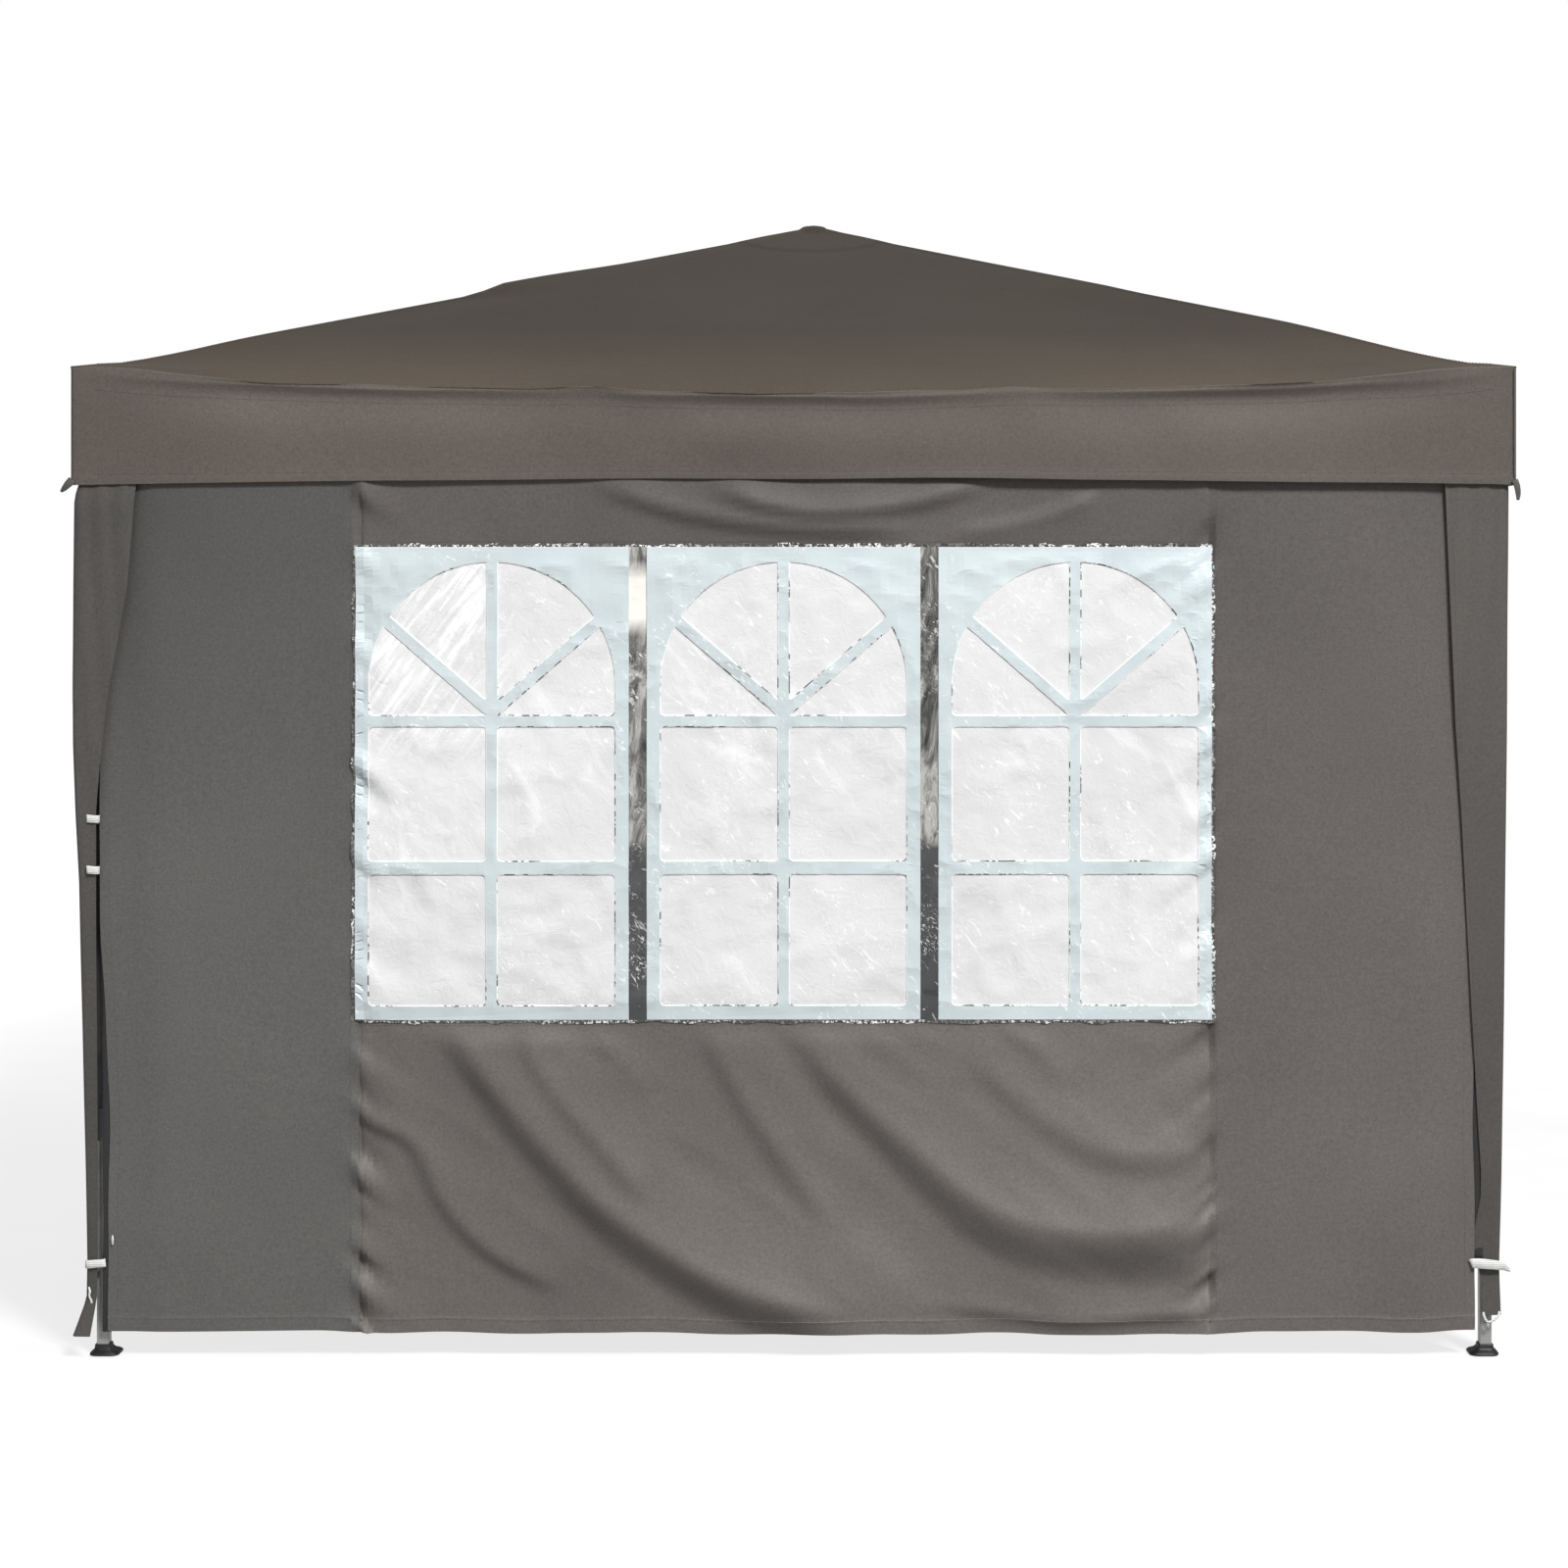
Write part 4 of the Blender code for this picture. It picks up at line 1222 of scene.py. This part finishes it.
def window_holes(low, high):
    """The clear panes of one window: four square ones and a fan of four under the arch."""
    middle = (low + high) / 2
    left, right = low + BORDER, high - BORDER
    bar = WINDOW_TOP - ARCH_BASE - 0.013
    second = WINDOW_TOP - 0.672
    base = WINDOW_BASE + 0.032
    holes = []
    for bottom, top in ((base, second - BAR), (second + BAR + 0.004, bar - BAR)):
        for a, b in ((left, middle - BAR), (middle + BAR, right)):
            holes.append([(a, bottom), (b, bottom), (b, top), (a, top)])
    radius = right - middle
    straight = ARCH_BASE - 0.030 - radius
    arch = arch_outline(middle, bar + BAR, radius, straight)
    hub = (middle, bar + BAR + 0.006)
    for sign in (1, -1):
        d = (sign * math.cos(FAN_SLOPE), math.sin(FAN_SLOPE))
        n = (-d[1] * sign, d[0] * sign)  # towards the mullion
        half = clip(arch, (middle + sign * BAR, 0), (sign, 0))
        upper = clip(half, (hub[0] + n[0] * BAR, hub[1] + n[1] * BAR), n)
        lower = clip(half, (hub[0] - n[0] * BAR, hub[1] - n[1] * BAR), (-n[0], -n[1]))
        holes += [upper, lower]
    return [spaced(rounded(h, 0.012), 0.02) for h in holes]


def outline_spline(curve, polygon):
    spline = curve.splines.new("POLY")
    spline.points.add(len(polygon) - 1)
    for p, (x, z) in zip(spline.points, polygon):
        p.co = (x, z, 0, 1)
    spline.use_cyclic_u = True


def build_grille(index, low, high):
    """One printed window laid on the film."""
    curve = bpy.data.curves.new("grille_outline", "CURVE")
    curve.dimensions = "2D"
    curve.fill_mode = "BOTH"
    curve.extrude = 0.0008
    bottom, top = WINDOW_BASE + 0.004, WINDOW_TOP - 0.004
    outer = spaced([(low, bottom), (high, bottom), (high, top), (low, top)], 0.02)
    outline_spline(curve, outer)
    for hole in window_holes(low, high):
        outline_spline(curve, hole)
    flat = linked("grille_flat", curve)
    mesh = finished_mesh(flat)
    bpy.data.objects.remove(flat)
    grid_cut(mesh, low, high, bottom, top)
    co = np.array([v.co for v in mesh.vertices], float)
    x, z, lift = co[:, 0], co[:, 1], co[:, 2]
    y = film_surface(x, z) - 0.0014 - lift
    mesh.vertices.foreach_set("co", np.stack([x, y, z], axis=-1).ravel())
    mesh.materials.clear()
    mesh.materials.append(PRINT)
    mesh.update()
    obj = linked("window_print_%d" % index, mesh)
    weld(obj)
    on_wall(obj)


def grid_cut(mesh, low, high, bottom, top):
    """Cuts a flat piece into small faces, so that it can follow the film."""
    cuts = [((x, 0, 0), (1, 0, 0)) for x in np.arange(low + PRINT_GRID, high, PRINT_GRID)]
    cuts += [((0, z, 0), (0, 1, 0)) for z in np.arange(bottom + PRINT_GRID, top, PRINT_GRID)]
    with editing(mesh) as work:
        for place, direction in cuts:
            parts = work.verts[:] + work.edges[:] + work.faces[:]
            bmesh.ops.bisect_plane(work, geom=parts, dist=1e-6, plane_co=place, plane_no=direction)


def build_edge_lights(index, low, high):
    """Raised lines just inside the edge of every pane, which carry a painted highlight and painted
    shadow.
    """
    points, faces = [], []
    for hole in window_holes(low, high):
        count, start = len(hole), len(points)
        turning = sum(a[0] * b[1] - b[0] * a[1] for a, b in zip(hole, hole[1:] + hole[:1]))
        for i in range(count):
            a, b = Vector(hole[i - 1]), Vector(hole[(i + 1) % count])
            along = (b - a).normalized()
            inward = Vector((-along.y, along.x)) * (1 if turning > 0 else -1)
            for out, lift in ((-0.0008, 0.0), (-0.0003, 0.0018), (0.0016, 0.0018), (0.0024, 0.0)):
                x, z = Vector(hole[i]) + inward * out
                points.append((x, lift, z))
        for i in range(count):
            j = (i + 1) % count
            for k in range(4):
                m = (k + 1) % 4
                here, next_one = start + 4 * i, start + 4 * j
                faces.append((here + k, next_one + k, next_one + m, here + m))
    points = np.array(points)
    points[:, 1] = film_surface(points[:, 0], points[:, 2]) - points[:, 1]
    obj = make_object("window_edge_light_%d" % index, points, faces, [PANE_EDGE_LIGHT])
    weld(obj)
    on_wall(obj)


def weld(obj):
    """Welds doubled points so that the piece is closed."""
    with editing(obj.data) as work:
        bmesh.ops.remove_doubles(work, verts=work.verts, dist=1e-5)
        bmesh.ops.recalc_face_normals(work, faces=work.faces)


# ---------------------------------------------------------------- feet, straps and tabs

LEG = 1.445  # how far out the middle of a leg lies
TUBE_HALF = 0.0125
TUBE_WALL = 0.0012
TUBE_TOP = 1.20
TUBE_BOTTOM = 0.008
PEG_HOLES = tuple(0.485 - 0.07 * step for step in range(3))
PEG_RADIUS = 0.0038


def rounded_square(half, radius, z, shift=0.0):
    """A ring round the front left leg."""
    ring = []
    for quarter in range(4):
        start = math.pi / 2 * quarter
        cx = (half - radius) * (1 if quarter in (0, 3) else -1)
        cy = (half - radius) * (1 if quarter in (0, 1) else -1)
        for k in range(5):
            a = start + math.pi / 8 * k
            x, y = cx + radius * math.cos(a), cy + radius * math.sin(a)
            ring.append((x - LEG + shift, y - LEG + shift, z))
    return np.array(ring)


def drill(obj, place, direction, radius, depth):
    """Cuts a round hole."""
    turn = Vector((0, 0, 1)).rotation_difference(Vector(direction)).to_matrix().to_4x4()
    mesh = bpy.data.meshes.new("drill")
    with editing(mesh) as work:
        bmesh.ops.create_cone(
            work, cap_ends=True, segments=20, radius1=radius, radius2=radius, depth=depth,
            matrix=Matrix.Translation(place) @ turn,
        )
    tool = linked("drill", mesh)
    cut = obj.modifiers.new("hole", "BOOLEAN")
    cut.object = tool
    cut.solver = "EXACT"
    made = finished_mesh(obj)
    obj.modifiers.remove(cut)
    obj.data = made
    bpy.data.objects.remove(tool)


def sharp_edges(obj):
    for polygon in obj.data.polygons:
        polygon.use_smooth = True
    obj.data.set_sharp_from_angle(angle=math.radians(35))


def turned_copy(obj, name, quarter):
    """The same piece at another corner."""
    mesh = obj.data.copy()
    mesh.transform(Matrix.Rotation(math.pi / 2 * quarter, 4, "Z"))
    return linked(name, mesh)


def build_feet():
    """An inner pole with its peg holes and a moulded foot pad, at the front left and then copied."""
    inner = TUBE_HALF - TUBE_WALL
    rings = [
        rounded_square(TUBE_HALF, 0.0022, TUBE_BOTTOM), rounded_square(TUBE_HALF, 0.0022, TUBE_TOP),
        rounded_square(inner, 0.0012, TUBE_TOP), rounded_square(inner, 0.0012, TUBE_BOTTOM),
    ]
    tube = loft("leg_tube_front_left", rings, SILVER, hollow=True)
    for z in PEG_HOLES:
        drill(tube, (-LEG, -LEG + TUBE_HALF, z), (0, 1, 0), PEG_RADIUS, 0.01)
    sharp_edges(tube)
    steps = (  # half width, corner radius, height and how far inwards each ring lies
        (0.0302, 0.016, 0.0, 0.004), (0.0312, 0.017, 0.0022, 0.004), (0.0306, 0.017, 0.0045, 0.004),
        (0.0280, 0.015, 0.0068, 0.0035), (0.0225, 0.011, 0.0096, 0.002), (0.0185, 0.007, 0.0125, 0.001),
        (0.0162, 0.004, 0.0165, 0.0), (0.0158, 0.004, 0.0215, 0.0), (0.0150, 0.004, 0.0225, 0.0),
        (0.0129, 0.0024, 0.0225, 0.0), (0.0128, 0.0024, 0.006, 0.0),
    )
    foot = loft("foot_pad_front_left", [rounded_square(h, r, z, m) for h, r, z, m in steps], BLACK_NYLON)
    drill(foot, (-LEG + 0.024, -LEG + 0.024, 0.005), (0, 0, 1), 0.003, 0.03)
    sharp_edges(foot)
    for quarter, corner in enumerate(CORNERS):
        tube_piece, foot_piece = tube, foot
        if quarter:
            tube_piece = turned_copy(tube, "leg_tube_" + corner, quarter)
            foot_piece = turned_copy(foot, "foot_pad_" + corner, quarter)
        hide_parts("inner_leg_" + corner)
        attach(tube_piece, "foot_" + corner)
        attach(foot_piece, "foot_" + corner)


FRONT = (0, -1, 0)
# Name, path, the way it faces, its widths and whether it is white: at the two front corners, and
# turned half round at the two back ones.
CORNER_STRAPS = {
    "front_left": (
        ("strap", ((-1.433, -1.4775, 0.197), (-1.437, -1.4815, 0.1965), (-1.447, -1.4825, 0.196),
                   (-1.460, -1.4825, 0.195), (-1.4715, -1.4815, 0.194), (-1.4755, -1.475, 0.1935)),
         (FRONT, FRONT, FRONT, FRONT, FRONT, (-1, -0.3, 0)), 0.017, True),
        ("loop", ((-1.4685, -1.4775, 0.146), (-1.4655, -1.4795, 0.138), (-1.4665, -1.480, 0.128),
                  (-1.4620, -1.480, 0.116), (-1.4625, -1.477, 0.104)),
         FRONT, (0.004, 0.005, 0.004, 0.005, 0.003), True),
        ("tab", ((-1.496, -1.500, 1.826), (-1.504, -1.5035, 1.817), (-1.512, -1.504, 1.808),
                 (-1.519, -1.503, 1.801)), FRONT, (0.018, 0.016, 0.012, 0.005), False),
    ),
    "front_right": (
        ("strap", ((1.408, -1.4775, 0.196), (1.411, -1.484, 0.197), (1.424, -1.4855, 0.197),
                   (1.446, -1.4855, 0.195), (1.462, -1.484, 0.193), (1.475, -1.481, 0.190),
                   (1.485, -1.478, 0.184), (1.492, -1.476, 0.178)),
         FRONT, (0.014, 0.019, 0.021, 0.021, 0.020, 0.017, 0.010, 0.003), True),
        ("loop_left", ((1.4360, -1.4765, 0.094), (1.4370, -1.4785, 0.086), (1.4405, -1.479, 0.078),
         (1.4455, -1.478, 0.0725)), FRONT, 0.005, True),
        ("loop_right", ((1.4700, -1.4765, 0.095), (1.4655, -1.4785, 0.085), (1.4560, -1.479, 0.077),
         (1.4460, -1.478, 0.0725)), FRONT, 0.005, True),
        ("loop_stem", ((1.4458, -1.478, 0.075), (1.4455, -1.476, 0.067), (1.4455, -1.471, 0.059),
         (1.4460, -1.466, 0.054)), FRONT, (0.006, 0.0065, 0.0065, 0.004), True),
        ("tab", ((1.496, -1.501, 1.826), (1.5005, -1.5035, 1.812), (1.5025, -1.504, 1.797),
                 (1.5025, -1.503, 1.784)), FRONT, (0.014, 0.013, 0.011, 0.006), False),
    ),
}


def build_straps():
    half_turn = {"front_left": "back_right", "front_right": "back_left"}
    for corner, straps in CORNER_STRAPS.items():
        for kind, path, away, widths, white in straps:
            name = "%s_%s" % (kind, corner)
            piece = ribbon(name, path, away, widths, WHITE_WEB if white else COVER_CLOTH)
            opposite = turned_copy(piece, "%s_%s" % (kind, half_turn[corner]), 2)
            for obj, place in ((piece, corner), (opposite, half_turn[corner])):
                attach(obj, "leg_" + place)
    for number, z in enumerate((1.122, 1.016)):
        path = ((-1.4665, -1.486, z), (-1.4672, -1.4955, z + 0.001), (-1.4565, -1.4965, z),
                (-1.4455, -1.4935, z - 0.001), (-1.4445, -1.482, z - 0.001))
        away = ((-1, -0.5, 0), (-0.3, -1, 0), (0, -1, 0), (0.5, -1, 0), (1, -0.2, 0))
        obj = ribbon("side_strap_%d" % (number + 1), path, away, 0.0165, WHITE_WEB)
        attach(obj, "leg_front_left")


# ---------------------------------------------------------------- floor, light and camera


FLOOR_HALF = 40
FLOOR_Z = -0.002


def build_stage():
    """A pale floor that fades into the white behind it."""
    corners = ((-1, -1), (1, -1), (1, 1), (-1, 1))
    points = np.array([(x * FLOOR_HALF, y * FLOOR_HALF, FLOOR_Z) for x, y in corners])
    n = Nodes("floor")
    speck = n.noise(3.0, 3.0, 0.5)
    n.set(Base_Color=n.colours(speck, (0.3, (0.24, 0.24, 0.24)), (0.7, (0.28, 0.28, 0.28))))
    n.set(Roughness=0.9, Specular_IOR_Level=0.1, Emission_Color=(1, 1, 1, 1))
    n.set(Emission_Strength=n.ramp(n.length(n.coord), 2.5, 9.0, 0.74, 0.97))
    floor = make_object("floor", points, [(0, 1, 2, 3)], [n.material])
    floor.visible_diffuse = False


def area_light(name, place, aim, size, power):
    data = bpy.data.lights.new(name, "AREA")
    data.shape = "RECTANGLE"
    data.size, data.size_y = size
    data.energy = power
    obj = linked(name, data)
    obj.location = place
    obj.rotation_euler = (Vector(aim) - Vector(place)).to_track_quat("-Z", "Y").to_euler()


def build_light():
    """A soft sky that the camera sees as white, a key light from high up and a weak fill."""
    world = bpy.data.worlds.new("studio")
    tree = Tree(world)
    way = tree.add("SeparateXYZ", "Z", {0: tree.add("TexCoord", "Generated", {})})
    sky = tree.ramp(way, -0.35, 0.6, 0.07, 0.52)
    seen = tree.add("LightPath", "Is Camera Ray", {})
    back = tree.nodes["Background"]
    tree.put(back.inputs["Color"], (1, 1, 1, 1))
    tree.put(back.inputs["Strength"], tree.ramp(seen, 0.0, 1.0, sky, 1.0))
    bpy.context.scene.world = world
    area_light("key", (4.4, -9.2, 9.6), (0, -1.4, 1.1), (2.4, 2.4), 1680)
    area_light("fill", (-2.5, -9.5, 1.8), (0, -1.4, 1.2), (4.0, 4.0), 60)


def build_camera():
    data = bpy.data.cameras.new("camera")
    data.lens = 66.4
    data.sensor_width = 36.0
    data.shift_x = -0.070
    data.shift_y = -0.1116
    camera = linked("camera", data)
    camera.location = (0.208, -7.5, 1.558)
    camera.rotation_euler = (math.radians(90), 0, 0)
    bpy.context.scene.camera = camera
    bpy.context.scene.view_settings.view_transform = "Standard"


# ---------------------------------------------------------------- frame finishes


def finish_frame():
    """Gives every kept CAD node its own detailed finish."""
    finishes = (
        (("outer_leg",), DARK_STEEL),
        (("peak_post",), SILVER),
        (("outer_bar", "inner_bar", "centre_bar"), GREY_STEEL),
        (("slider_button", "leg_button"), BUTTON_NYLON),
        (("slider", "mid_", "hub_", "peak_plug"), BLACK_NYLON),
    )
    for name, node in frame["nodes"].items():
        for starts, material in finishes:
            if name.startswith(starts):
                for slot in node.material_slots:
                    slot.material = material
                if not node.material_slots:
                    node.data.materials.append(material)
                soften = node.modifiers.new("edges", "BEVEL")
                soften.width = 0.0009
                soften.segments = 2
                soften.limit_method = "ANGLE"
                soften.angle_limit = math.radians(40)
                break


finish_frame()
build_roof()
build_covers()
build_wall()
build_wall_edges()
build_film()
for number, (left_edge, right_edge) in enumerate(WINDOWS):
    build_grille(number + 1, left_edge, right_edge)
    build_edge_lights(number + 1, left_edge, right_edge)
build_feet()
build_straps()
build_stage()
build_light()
build_camera()
